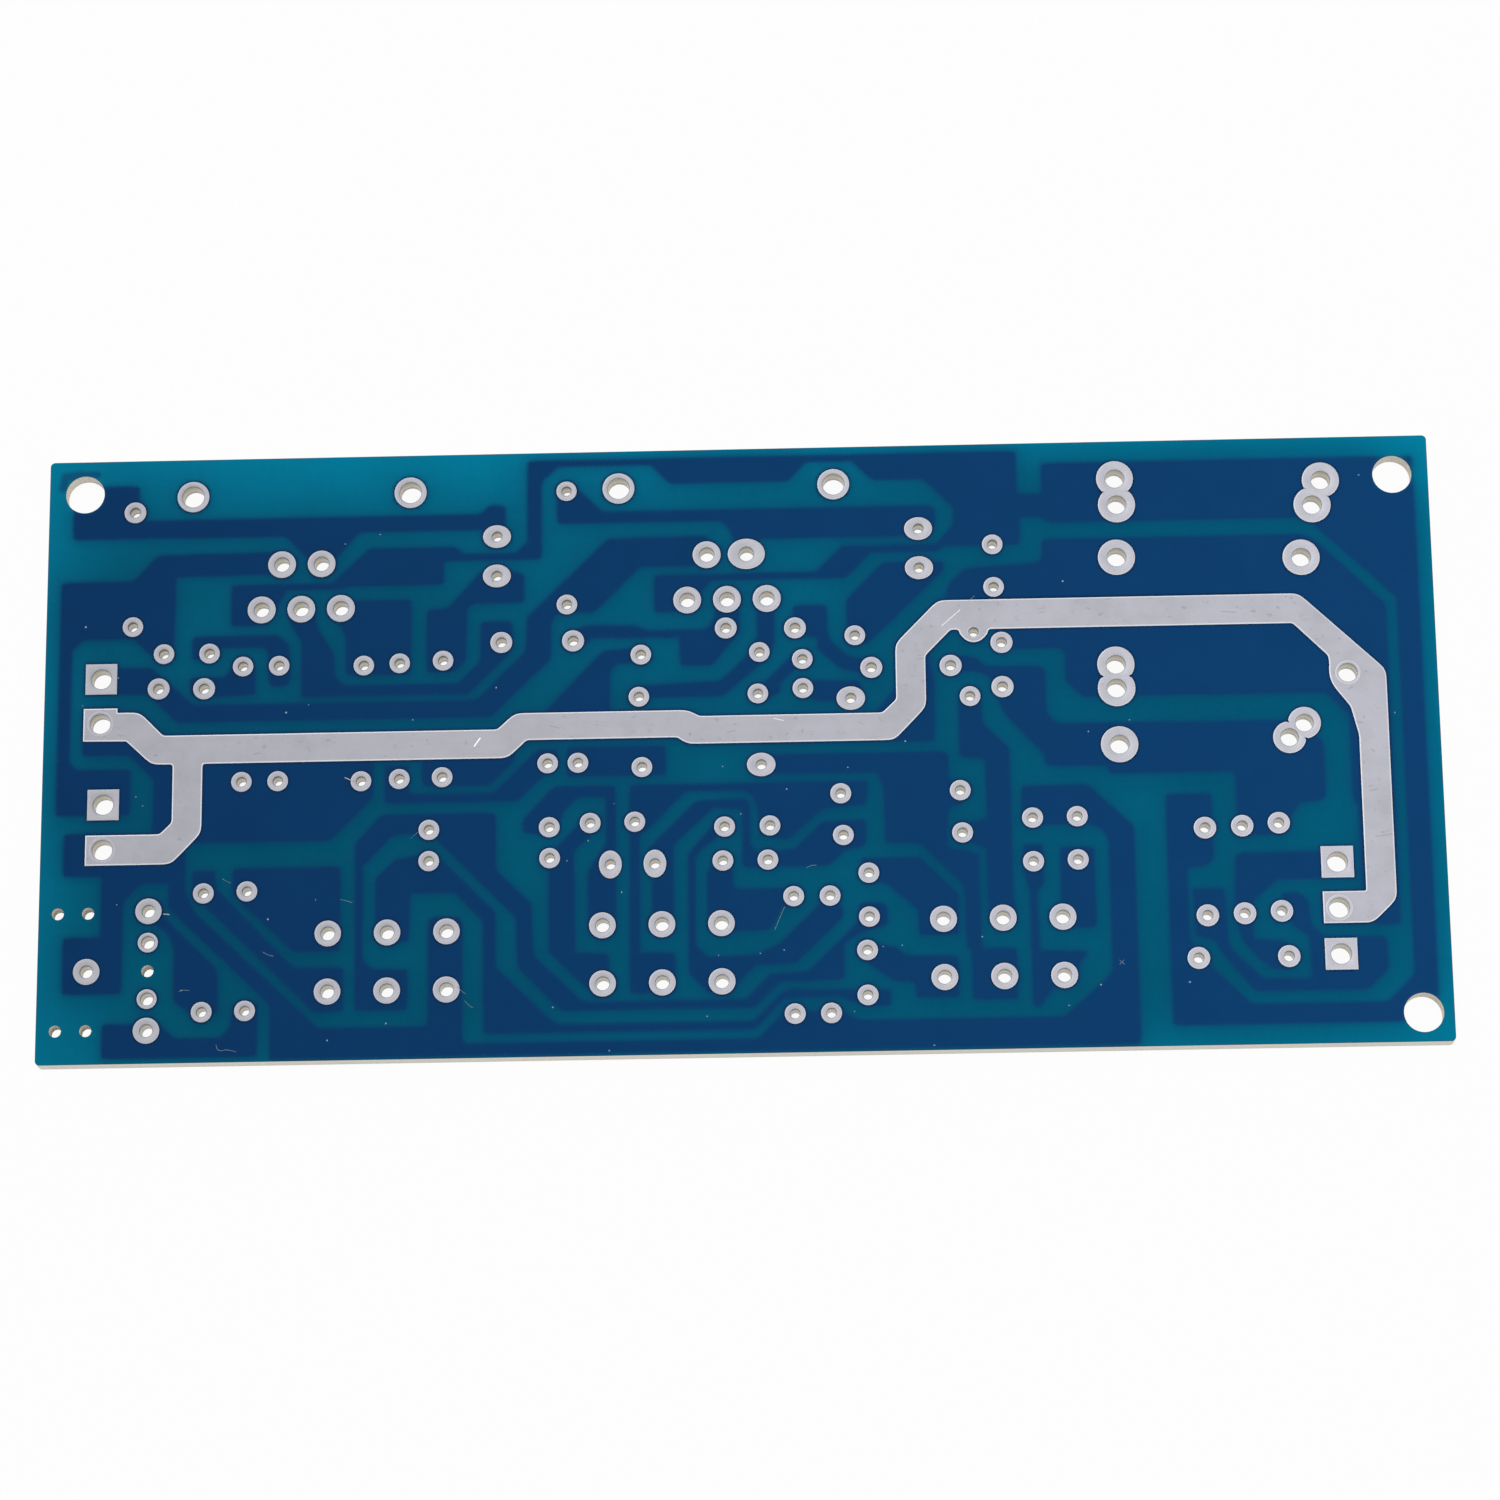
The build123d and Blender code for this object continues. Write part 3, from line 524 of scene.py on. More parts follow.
def blurred(picture, spread):
    # a soft copy; spread is in metres
    down = np.fft.fftfreq(picture.shape[0], drawingLook["step"])[:, None]
    along = np.fft.rfftfreq(picture.shape[1], drawingLook["step"])[None, :]
    damping = np.exp(-2 * (math.pi * spread) ** 2 * (down ** 2 + along ** 2))
    return np.fft.irfft2(np.fft.rfft2(picture) * damping, s=picture.shape)


def sampled(picture, points):
    # straight interpolation between the cells
    places = (points - drawingCorner) / drawingLook["step"] - 0.5
    cell = np.floor(places).astype(int)
    part = places - cell
    column = np.clip(cell[:, 0], 0, columns - 2)
    row = np.clip(cell[:, 1], 0, rows - 2)
    lower = picture[row, column] * (1 - part[:, 0]) + picture[row, column + 1] * part[:, 0]
    upper = picture[row + 1, column] * (1 - part[:, 0]) + picture[row + 1, column + 1] * part[:, 0]
    return lower * (1 - part[:, 1]) + upper * part[:, 1]


copperEdges = np.concatenate([flatEdges(node) for node in foils])
copperDrawing = fill(copperEdges)
print("copper drawing filled", len(copperEdges), "edges")


def loopsOf(node):
    # the closed outlines of a node's upper side, their points in order
    edges = flatEdges(node)
    keys = np.round(edges / sameSpot).astype(np.int64).tolist()
    leaving = {tuple(start): index for index, (start, end) in enumerate(keys)}
    loops = []
    while leaving:
        corner, index = leaving.popitem()
        loop = []
        while index is not None:
            loop.append(edges[index, 0])
            index = leaving.pop(tuple(keys[index][1]), None)
        loops.append(np.array(loop))
    return loops


widestHole = 5 * mm


def holesIn(node):
    # middle and half width of each hole in a node's upper side
    found = []
    for loop in loopsOf(node):
        low, high = loop.min(0), loop.max(0)
        middle = (low + high) / 2
        if (high - low).max() < widestHole:
            halfway = (loop + np.roll(loop, -1, axis=0)) / 2
            found.append((middle, np.linalg.norm(halfway - middle, axis=1).min()))
    return found


drilled = holesIn("laminate")
busHoles = holesIn("bus_tin")
print("holes", len(drilled), sorted({round(2 * radius / mm, 2) for middle, radius in drilled}))

# what each drill leaves round its hole, millimetres
landKinds = {
    "leadLands": {"drill": 0.85, "length": 1.78, "width": 1.78},
    "stoutLands": {"drill": 0.9, "length": 1.90, "width": 1.90},
    "jackLands": {"drill": 1.1, "length": 2.26, "width": 2.26},
    "controlLands": {"drill": 1.2, "length": 2.27, "width": 2.27},
    "amplifierLands": {"drill": 1.3, "length": 2.42, "width": 2.42},
    "smallCapacitorLands": {"drill": 1.55, "length": 2.8, "width": 2.8},
    "capacitorLands": {"drill": 1.65, "length": 3.2, "width": 3.2},
    "terminalLands": {"drill": 1.75, "length": 2.73, "width": 2.73, "square": 1.0},
    "pinLands": {"drill": 1.9, "length": 2.78, "width": 2.78},
}
oddLands = {
    "ovalLands": {"length": 2.44, "width": 2.08,
                  "near": [(38.6, 45.6), (38.6, 42.0), (74.8, 45.6), (74.8, 42.0), (68.7, 30.6),
                           (61.1, 24.9)]},
    "uprightLands": {"length": 1.94, "width": 2.44, "near": [(48.3, 16.4), (52.0, 16.4)]},
    "wideLands": {"length": 3.2, "width": 2.75, "near": [(60.0, 43.6)]},
    "spareLands": {"length": 1.72, "width": 1.72, "near": [(9.3, 10.4), (9.3, 5.5)]},
}
bareDrills = {"peg": 1.0, "corner": 3.35}
allKinds = {**landKinds, **oddLands}
# how near counts as the same: drills, a hole of the bus, a place given above; and a real overlap
nearness = {"drill": 0.04, "bore": 0.2 * mm, "place": 0.5 * mm, "overlap": 0.1 * mm}


def sortLands():
    # each plated hole goes to its kind; those in the bus only get a collar
    found = {name: [] for name in [*allKinds, "busCollars"]}
    bare = []
    for middle, radius in drilled:
        drill = 2 * radius / mm
        if min(abs(drill - size) for size in bareDrills.values()) < nearness["drill"]:
            bare.append((middle, radius))
            continue
        place = Vector((*middle, 0))
        kind = min(landKinds, key=lambda name: abs(landKinds[name]["drill"] - drill))
        if any(np.linalg.norm(middle - bore) < nearness["bore"] for bore, radius in busHoles):
            found["busCollars"].append((middle, radius, kind))
            continue
        for name, look in oddLands.items():
            if any((onBoard(*near) - place).length < nearness["place"] for near in look["near"]):
                look["drill"] = landKinds[kind]["drill"]
                kind = name
        found[kind].append((middle, radius, kind))
    return found, bare


landPlaces, bareHoles = sortLands()
flatLands = [(middle, allKinds[name]) for name in allKinds for middle, radius, kind in landPlaces[name]]


def findPartners():
    # for each land that runs into another: the other's middle and how far off their seam lies
    lands = [(middle, look["length"] / 2 * mm) for middle, look in flatLands]
    partners = {}
    for middle, reach in lands:
        for other, otherReach in lands:
            apart = np.linalg.norm(other - middle)
            if 0 < apart < reach + otherReach - nearness["overlap"]:
                partners[tuple(middle)] = (other, (apart ** 2 + reach ** 2 - otherReach ** 2) / (2 * apart))
    return partners


partners = findPartners()
print("lands that run together", sorted({round(seam / mm, 2) for other, seam in partners.values()}))
print({name: len(places) for name, places in landPlaces.items()}, len(bareHoles), "bare")


busShape = {
    "spacing": 0.15 * mm,
    "bend": 0.42 * mm,            # how far the etch rounds an outer bend
    "innerBend": 0.16 * mm,
    "squareReach": 1.9 * mm,      # no rounding this near a terminal's square
    "squareFade": 0.8 * mm,
    "rounding": 0.05 * mm,
    # how far in from the bus's edge the painted highlight reaches
    "paintedHighlightBand": 0.14 * mm,
    "boreSides": 24,
    "boreGap": 0.01 * mm,
    "sharpFrom": 55.0,            # degrees
}


def circle(middle, radius, count):
    turns = np.arange(count) * math.tau / count
    return middle + radius * np.stack([np.cos(turns), np.sin(turns)], 1)


def joined(loop):
    return np.stack([loop, np.roll(loop, -1, axis=0)], 1)


def softBusOutline():
    # the bus's outline in even steps, its bends rounded and its terminal squares left sharp
    outline = max(loopsOf("bus_tin"), key=lambda loop: np.ptp(loop[:, 0]))
    points = []
    for start, end in joined(outline):
        count = max(1, round(np.linalg.norm(end - start) / busShape["spacing"]))
        points.extend(start + (end - start) * step / count for step in range(count))
    points = np.array(points)
    turns = np.fft.fftfreq(len(points))
    whole = points[:, 0] + 1j * points[:, 1]

    def softened(spread):
        damping = np.exp(-2 * (math.pi * spread / busShape["spacing"] * turns) ** 2)
        return np.fft.ifft(np.fft.fft(whole) * damping)

    outer, inner = softened(busShape["bend"]), softened(busShape["innerBend"])
    run = np.roll(whole, -1) - np.roll(whole, 1)
    soft = np.where(((outer - whole) / run).imag > 0, outer, inner)
    squares = [middle for middle, radius, kind in landPlaces["busCollars"] if kind == "terminalLands"]
    nearest = np.min([abs(points - middle).max(1) for middle in squares], axis=0)
    share = np.clip((nearest - busShape["squareReach"]) / busShape["squareFade"], 0, 1)[:, None]
    return points * (1 - share) + np.stack([soft.real, soft.imag], 1) * share


busOutline = softBusOutline()
busEdges = joined(busOutline)
print("bus outline", len(busOutline), "points")


sheetLook = {
    "thickness": 0.02 * mm,       # over bare laminate
    "edgeGap": 0.05 * mm,         # what the saw and the drill leave bare
    "openField": 1.1 * mm,        # spacing of points where nothing changes
    "alongEdge": 0.45 * mm,
    # rows of points, millimetres from the copper's edges, the bus's edges and the lands' rims
    "besideEdge": [-0.75, -0.42, -0.2, -0.06, 0.06, 0.2, 0.42],
    "besideBus": [-0.28, -0.11, -0.03, 0.03, 0.11, 0.28],
    "aroundLand": [0.02, 0.11, 0.28],
    "landPoints": 28,
    "leastGap": 0.085 * mm,
    # well under the tin only one point in so many stays
    "underSpread": 0.06 * mm,
    "underCover": 0.97,
    "underShare": 6,
    # what stays free of points along the sheet's rim and round its openings
    "rimGap": 0.06 * mm,
    "openingGap": 0.07 * mm,
    "corner": 0.35 * mm,
    "cornerSteps": 4,
    "rimSpacing": 0.6 * mm,
    # how far an opening under tin reaches from the bore towards the land's rim
    "openShare": {"land": 0.5, "collar": 0.25, "pair": 0.2},
    "openSides": {"land": 14, "peg": 20, "corner": 48},
    "stepSpread": 0.085 * mm,     # the border of the copper itself
    "paintedShadeSpread": 0.40 * mm,      # the painted shade on the varnish beside it
    "stepShare": 0.55,
    "reliefSpread": 0.24 * mm,
    "reliefFull": 0.22,           # the softened cover at which the mask lies on the copper
    # how far the painted glow through the open laminate reaches
    "glowSpread": 3.0 * mm,
    # how far and how strongly the painted shadow reaches out from the tin
    "shadeSpread": 0.09 * mm,
    "shadeGain": 2.2,
}


def landOutline(middle, look, count, grow):
    length, width, square = look["length"] * mm, look["width"] * mm, look.get("square", 0.0)
    turns = (np.arange(count) + 0.5) * math.tau / count
    if square:
        turns = turns - math.pi / count + math.pi / 4
    across, upward = np.cos(turns), np.sin(turns)
    stretch = 1 + square * (1 / np.maximum(abs(across), abs(upward)) - 1)
    return middle + np.stack([(length / 2 + grow) * across * stretch,
                              (width / 2 + grow) * upward * stretch], 1)


stepPicture = np.clip(blurred(copperDrawing, sheetLook["stepSpread"]), 0, 1)
# painted shade: a wide dark band of the copper's cover that reaches onto the varnish beside the copper
paintedShadePicture = np.clip(2 * blurred(copperDrawing, sheetLook["paintedShadeSpread"]), 0, 1)
coverPicture = sheetLook["stepShare"] * stepPicture + (1 - sheetLook["stepShare"]) * paintedShadePicture
reliefPicture = np.clip(blurred(copperDrawing, sheetLook["reliefSpread"]) / sheetLook["reliefFull"], 0, 1)
# painted glow: 1 where the board lies far from copper
paintedGlowPicture = np.clip(blurred(1 - copperDrawing, sheetLook["glowSpread"]), 0, 1)


def drawTin():
    # the bus and every land as one filled drawing; lands that overlap stay filled
    drawing = fill(busEdges)
    step = drawingLook["step"]
    for middle, look in flatLands:
        halfSize = np.array([look["length"], look["width"]]) / 2 * mm
        low = np.floor((middle - halfSize - drawingCorner) / step).astype(int)
        high = np.ceil((middle + halfSize - drawingCorner) / step).astype(int)
        cells = [drawingCorner[axis] + (np.arange(low[axis], high[axis]) + 0.5) * step for axis in range(2)]
        across, upward = np.meshgrid(*(abs(cells[axis] - middle[axis]) / halfSize[axis] for axis in range(2)))
        inside = np.maximum(across, upward) < 1 if look.get("square") else across ** 2 + upward ** 2 < 1
        drawing[low[1]:high[1], low[0]:high[0]][inside] = 1.0
    return drawing


tinDrawing = drawTin()
shadePicture = np.clip(sheetLook["shadeGain"] * blurred(tinDrawing, sheetLook["shadeSpread"]), 0, 1)


def maskHeight(points):
    rise = sampled(reliefPicture, points)
    rise = rise * rise * (3 - 2 * rise)
    return boardHigh.z + sheetLook["thickness"] + (foilTop - boardHigh.z) * rise


def spacedPoints(edges, offsets, spacing):
    # rows of points on both sides of every edge
    made = []
    for start, end in edges:
        run = end - start
        length = np.linalg.norm(run)
        if length < sameSpot / 10:
            continue
        count = max(1, round(length / spacing))
        along = start + run * ((np.arange(count) + 0.5) / count)[:, None]
        side = np.array([run[1], -run[0]]) / length
        for offset in offsets:
            made.append(along + side * offset * mm)
    return np.concatenate(made)


def offLine(points, start, end):
    # how far each point lies from the line between two middles
    run = end - start
    along = np.clip((points - start) @ run / max(run @ run, 1e-12), 0, 1)
    return np.linalg.norm(points - start - along[:, None] * run, axis=1)


def capsule(start, end, radius, count):
    # a circle, or the outline round two of them
    run = end - start
    turns = np.arange(count) * math.tau / count + math.atan2(run[1], run[0]) + math.pi / 2
    first = np.arange(count) < count // 2
    middles = np.where(first[:, None], start, end)
    return middles + radius * np.stack([np.cos(turns), np.sin(turns)], 1)


def sheetPoints(openings):
    # fine beside the copper, round the lands and along the bus; coarse elsewhere
    look = sheetLook
    parts = [spacedPoints(busEdges, look["besideBus"], look["alongEdge"])]
    for middle, land in flatLands:
        for grow in look["aroundLand"]:
            parts.append(landOutline(middle, land, look["landPoints"], grow * mm))
    parts.append(spacedPoints(copperEdges, look["besideEdge"], look["alongEdge"]))
    xs = np.arange(boardLow.x, boardHigh.x, look["openField"])
    ys = np.arange(boardLow.y, boardHigh.y, look["openField"])
    grid = np.stack(np.meshgrid(xs, ys), -1).reshape(-1, 2)
    grid[:, 0] += ((grid[:, 1] / look["openField"]).round() % 2) * look["openField"] / 2
    points = np.concatenate([*parts, grid])
    hidden = sampled(blurred(tinDrawing, look["underSpread"]), points) > look["underCover"]
    points = points[~hidden | (np.arange(len(points)) % look["underShare"] == 0)]
    edge = look["edgeGap"] + look["rimGap"]
    inside = ((points[:, 0] > boardLow.x + edge) & (points[:, 0] < boardHigh.x - edge)
              & (points[:, 1] > boardLow.y + edge) & (points[:, 1] < boardHigh.y - edge))
    points = points[inside]
    for middle, other, radius, count in openings:
        points = points[offLine(points, middle, other) > radius + look["openingGap"]]
    cells = np.floor(points / look["leastGap"]).astype(np.int64)
    first = np.unique(coded(cells), return_index=True)[1]
    return points[np.sort(first)]


def maskOpenings():
    # two middles, which are one but for lands that run together, with the radius and the sides
    look = sheetLook
    openings = []
    for middle, radius in bareHoles:
        sides = look["openSides"]["corner" if radius > 1 * mm else "peg"]
        openings.append((middle, middle, radius + look["edgeGap"], sides))
    for name, places in landPlaces.items():
        for middle, radius, kind in places:
            size = allKinds[kind]
            spare = min(size["length"], size["width"]) * mm / 2 - radius
            other = partners.get(tuple(middle), (middle, 0))[0]
            share = "collar" if name == "busCollars" else "land" if other is middle else "pair"
            if tuple(middle) <= tuple(other):
                openings.append((middle, other, radius + look["openShare"][share] * spare,
                                 look["openSides"]["land"]))
    return openings


def maskRim():
    # the sheet's outline, with points along its straight sides so that the relief can follow them
    look = sheetLook
    corner, last = look["corner"], look["cornerSteps"] - 1
    low = np.array([boardLow.x, boardLow.y]) + look["edgeGap"]
    high = np.array([boardHigh.x, boardHigh.y]) - look["edgeGap"]
    bend = []
    turns = [(high[0], high[1], -1, -1), (low[0], high[1], 1, -1),
             (low[0], low[1], 1, 1), (high[0], low[1], -1, 1)]
    for turn, (x, y, right, up) in enumerate(turns):
        inward = np.array([x, y]) + corner * np.array([right, up])
        for step in range(look["cornerSteps"]):
            angle = (turn + step / last) * math.pi / 2
            bend.append(inward + corner * np.array([math.cos(angle), math.sin(angle)]))
    points = []
    for start, end in joined(np.array(bend)):
        count = max(1, int(np.linalg.norm(end - start) / look["rimSpacing"]))
        points.extend(start + (end - start) * step / count for step in range(count))
    return np.array(points)


def loopEdges(loops):
    # the corners that each closed loop joins, counted through all the loops
    edges, start = [], 0
    for loop in loops:
        edges += [(start + index, start + (index + 1) % len(loop)) for index in range(len(loop))]
        start += len(loop)
    return edges


def delaunay(points, edges, closeness):
    # places, faces, and for each place the points that it came from; closeness in millimetres
    flat = [Vector((float(x), float(y))) for x, y in points / mm]
    places, _, faces, origin, _, _ = geometry.delaunay_2d_cdt(flat, edges, [], 0, closeness)
    return places, faces, origin


def makeMask():
    openings = maskOpenings()
    loops = [maskRim()] + [capsule(*opening) for opening in openings]
    rim = np.concatenate(loops)
    edges = loopEdges(loops)

    def triangulate(points):
        places, faces, origin = delaunay(points, edges, 1e-5)
        places = np.array([tuple(place) for place in places]) * mm
        faces = np.array([tuple(face) for face in faces])
        middles = places[faces].mean(1)
        kept = np.ones(len(faces), bool)
        for middle, other, radius, count in openings:
            kept &= offLine(middles, middle, other) > radius * math.cos(math.pi / count) - 0.002 * mm
        placeOf = {source: index for index, sources in enumerate(origin) for source in sources}
        return places, faces[kept], placeOf

    top, topFaces, topOf = triangulate(np.concatenate([rim, sheetPoints(openings)]))
    under, underFaces, underOf = triangulate(rim)
    count = len(top)
    underOf = {source: count + index for source, index in underOf.items()}
    vertices = np.concatenate([np.column_stack([top, maskHeight(top)]),
                               np.column_stack([under, np.full(len(under), boardHigh.z)])])
    walls = [(topOf[end], topOf[start], underOf[start], underOf[end]) for start, end in edges]
    mesh = newMesh("solderMask", vertices.tolist(), [
        *[tuple(face) for face in topFaces.tolist()],
        *[(c + count, b + count, a + count) for a, b, c in underFaces.tolist()], *walls])
    mesh.validate()
    pictures = {"copperCover": coverPicture, "paintedGlowShare": paintedGlowPicture, "landShade": shadePicture}
    for name, picture in pictures.items():
        mark(mesh, name, sampled(picture, vertices[:, :2]).astype(np.float32))
    mesh.shade_smooth()
    sharp = {tuple(sorted((of[start], of[end]))) for start, end in edges for of in (topOf, underOf)}
    for edge in mesh.edges:
        edge.use_edge_sharp = tuple(sorted(edge.vertices)) in sharp
    mesh.materials.append(maskFinish)
    made = stand("solderMask", mesh)
    mesh.calc_loop_triangles()
    print("solder mask", len(mesh.loop_triangles), "triangles")
    return made


solderMask = makeMask()
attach(solderMask, "root")


ringLook = {
    "around": 32,
    "wall": 0.02,
    # share of the way from bore to rim, step outwards, 1 at the top side, height there,
    # and 1 on the rim that takes a painted highlight, which is left out where two lands run together
    "profile": [(1, 0.0, 1, -0.15, 1), (1, 0.0, 1, -0.045, 1), (1, -0.04, 1, -0.006, 1),
                (1, -0.11, 1, 0.0, 0), (0, 0.08, 1, -0.004, 0), (0, 0.025, 1, -0.03, 0),
                (0, 0.0, 1, -0.09, 0), (0, 0.0, 0, 0.06, 0), (0, 0.05, 0, -0.025, 0),
                (1, -0.05, 0, -0.025, 0), (1, 0.0, 0, 0.0, 0), (0, 0.025, 0, 0.0, 0),
                (0, 0.025, 1, -0.15, 0)],
}


def makeRingPattern():
    # a closed ring whose corners carry their share, step, side and height
    around, profile = ringLook["around"], ringLook["profile"]
    turns = [index * math.tau / around for index in range(around)]
    corners = [(math.cos(turn), math.sin(turn), height) for turn in turns for _, _, _, height, _ in profile]
    faces = []
    for index in range(around):
        for step in range(len(profile)):
            after, above = (index + 1) % around, (step + 1) % len(profile)
            faces.append((index * len(profile) + step, after * len(profile) + step,
                          after * len(profile) + above, index * len(profile) + above))
    mesh = newMesh("ringPattern", corners, faces)
    mark(mesh, "turn", [turn for turn in turns for _ in profile])
    units = {"reach": 1, "step": mm, "side": 1, "rise": mm, "rim": 1}
    for place, (name, unit) in enumerate(units.items()):
        mark(mesh, name, [entry[place] * unit for _ in turns for entry in profile])
    mesh.polygons.foreach_set("use_smooth", [True] * len(mesh.polygons))
    return stand("ringPattern", mesh)


class Growth(Plan):
    # a Geometry Nodes tree with named inputs
    def __init__(self, name, inputs):
        super().__init__(bpy.data.node_groups.new(name, "GeometryNodeTree"))
        self.identifiers = {}
        for label, kind in {"Geometry": "NodeSocketGeometry", **inputs}.items():
            socket = self.tree.interface.new_socket(label, in_out="INPUT", socket_type=kind)
            self.identifiers[label] = socket.identifier
        self.tree.interface.new_socket("Geometry", in_out="OUTPUT", socket_type="NodeSocketGeometry")
        self.start = self.node("NodeGroupInput")
        self.end = self.node("NodeGroupOutput")

    def given(self, label):
        return self.wire(self.start, label)

    def random(self, low, high, seed):
        made = self.node("FunctionNodeRandomValue", {"data_type": "FLOAT"}, {2: low, 3: high, "Seed": seed})
        return self.wire(made, 1)

    def named(self, attribute):
        made = self.node("GeometryNodeInputNamedAttribute", {"data_type": "FLOAT"}, {"Name": attribute})
        return self.wire(made, "Attribute")

    def stored(self, shape, name, value):
        made = self.node("GeometryNodeStoreNamedAttribute", {"data_type": "FLOAT", "domain": "POINT"},
                         {"Geometry": shape, "Name": name, "Value": value})
        return self.wire(made)

    def finish(self, shape):
        realized = self.node("GeometryNodeRealizeInstances", {}, {"Geometry": shape})
        coloured = self.node("GeometryNodeSetMaterial", {}, {
            "Geometry": realized.outputs[0], "Material": self.given("Finish")})
        self.join(self.end.inputs[0], coloured.outputs[0])

    def grow(self, name, points, values, pointValues):
        # runs the tree on bare points and keeps the result as a plain mesh
        base = newMesh(name + "Places", [tuple(point) for point in points], [])
        for label, numbers in pointValues.items():
            mark(base, label, numbers)
        holder = stand(name + "Places", base)
        modifier = holder.modifiers.new(name, "NODES")
        modifier.node_group = self.tree
        for label, value in values.items():
            modifier[self.identifiers[label]] = value
        return stand(name, meshOf(holder, name))


def makeLandGrowth():
    # rings are set on their points first and shaped where they stand, so each can meet its partner
    growth = Growth("platedLands", {
        "Ring": "NodeSocketObject", "Length": "NodeSocketFloat", "Width": "NodeSocketFloat",
        "Under Land": "NodeSocketFloat", "Drill": "NodeSocketFloat", "Squareness": "NodeSocketFloat",
        "Top": "NodeSocketFloat", "Unevenness": "NodeSocketFloat", "Seed": "NodeSocketInt",
        "Finish": "NodeSocketMaterial"})
    uneven = growth.given("Unevenness")
    change = growth.random(1.0 - uneven, uneven + 1.0, growth.given("Seed"))
    points = growth.stored(growth.given("Geometry"), "change", change)
    ring = growth.node("GeometryNodeObjectInfo", {}, {"Object": growth.given("Ring")})
    spread = growth.node("GeometryNodeInstanceOnPoints", {}, {
        "Points": points, "Instance": ring.outputs["Geometry"]})
    rings = growth.node("GeometryNodeRealizeInstances", {}, {"Geometry": spread.outputs[0]})
    turn, reach, step = growth.named("turn"), growth.named("reach"), growth.named("step")
    side, rise, rim = growth.named("side"), growth.named("rise"), growth.named("rim")
    across, upward = turn.cosine(), turn.sine()
    stretch = 1.0 + growth.given("Squareness") * (1.0 / across.size().atLeast(upward.size()) - 1.0)
    bore = growth.given("Drill") / 2.0 - ringLook["wall"] * mm
    under = growth.given("Under Land") * (1.0 - side)
    length = (growth.given("Length") * side + under) / 2.0 * growth.named("change")
    width = (growth.given("Width") * side + under) / 2.0 * growth.named("change")
    facing = (turn - growth.named("partnerTurn")).cosine().atLeast(0.001)
    share = (growth.named("seam") / facing / length).atMost(1.0)
    seamed = ((1.0 - share) * 1000.0).clamped()
    # the rim that takes the painted highlight, except where two lands run together
    edge = rim * (1.0 - seamed)
    outward = step * (1.0 - 0.9 * reach * seamed)
    inner, outer = bore * (1.0 - reach), stretch * reach * share
    x = growth.named("middleX") + across * (inner + length * outer + outward)
    y = growth.named("middleY") + upward * (inner + width * outer + outward)
    z = side * growth.given("Top") + rise * (1.0 - 0.9 * seamed * side * reach)
    placed = growth.node("ShaderNodeCombineXYZ", {}, {"X": x, "Y": y, "Z": z})
    marked = growth.stored(rings.outputs[0], "edge", edge)
    shaped = growth.node("GeometryNodeSetPosition", {}, {"Geometry": marked, "Position": placed.outputs[0]})
    growth.finish(shaped.outputs[0])
    return growth


landGrowth = makeLandGrowth()
ringPattern = makeRingPattern()
landLook = {
    "rise": 0.11 * mm,            # of a land over the foil
    "uneven": 0.006,
    "collarRise": 0.008 * mm,     # of a collar over the bus
    "collarWidth": 1.32,          # in drill widths
    "collarSeed": 40,
}


def addLands(name, places, look, top, seed):
    middles = [middle for middle, radius, kind in places]
    meetings = [partners.get(tuple(middle), (middle, 1.0)) for middle in middles]
    under = look.get("under", (look["length"] + look["width"]) / 2)
    made = landGrowth.grow(name, [(*middle, 0.0) for middle in middles], {
        "Ring": ringPattern, "Length": look["length"] * mm, "Width": look["width"] * mm,
        "Under Land": under * mm, "Drill": look["drill"] * mm, "Squareness": look.get("square", 0.0),
        "Top": top, "Unevenness": landLook["uneven"], "Seed": seed, "Finish": landFinish,
    }, {
        "middleX": [middle[0] for middle in middles],
        "middleY": [middle[1] for middle in middles],
        "seam": [seam for other, seam in meetings],
        "partnerTurn": [math.atan2(*(other - middle)[::-1])
                        for middle, (other, seam) in zip(middles, meetings)],
    })
    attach(made, "root")


for seed, (name, look) in enumerate(allKinds.items()):
    if landPlaces[name]:
        addLands(name, landPlaces[name], look, foilTop + landLook["rise"], seed)
collars = landPlaces["busCollars"]
for seed, kind in enumerate(sorted({kind for middle, radius, kind in collars})):
    look = landKinds[kind]
    width = look["drill"] * landLook["collarWidth"]
    collar = dict(look, length=width, width=width, under=look["length"], square=0.0)
    addLands(kind.replace("Lands", "Collars"), [entry for entry in collars if entry[2] == kind],
             collar, busTop + landLook["collarRise"], seed + landLook["collarSeed"])
bpy.data.objects.remove(ringPattern)
print("lands grown")


def insideLoops(points, loops):
    # a line to the right of each point crosses the outlines an odd number of times
    inside = np.zeros(len(points), bool)
    for start, end in np.concatenate([joined(loop) for loop in loops]):
        if start[1] != end[1]:
            spans = (start[1] > points[:, 1]) != (end[1] > points[:, 1])
            crossing = start[0] + (points[:, 1] - start[1]) * (end[0] - start[0]) / (end[1] - start[1])
            inside ^= spans & (points[:, 0] < crossing)
    return inside


def sheetFaces(loops):
    # triangles between closed loops, counted in the order in which the loops' points come
    points = np.concatenate(loops)
    places, faces, origin = delaunay(points, loopEdges(loops), 1e-6)
    faces = np.array([[origin[corner][0] for corner in face] for face in faces])
    first, second = points[faces[:, 1]] - points[faces[:, 0]], points[faces[:, 2]] - points[faces[:, 0]]
    area = (first[:, 0] * second[:, 1] - first[:, 1] * second[:, 0]) / 2
    faces = faces[area > 1e-5 * mm * mm]      # along a straight run there are slivers with no area
    return faces[insideLoops(points[faces].mean(1), loops)]


def inset(loop, distance):
    # the loop moved to its own left, inwards on an outline that turns to the left
    run = np.roll(loop, -1, axis=0) - np.roll(loop, 1, axis=0)
    return loop + distance * np.stack([-run[:, 1], run[:, 0]], 1) / np.linalg.norm(run, axis=1)[:, None]


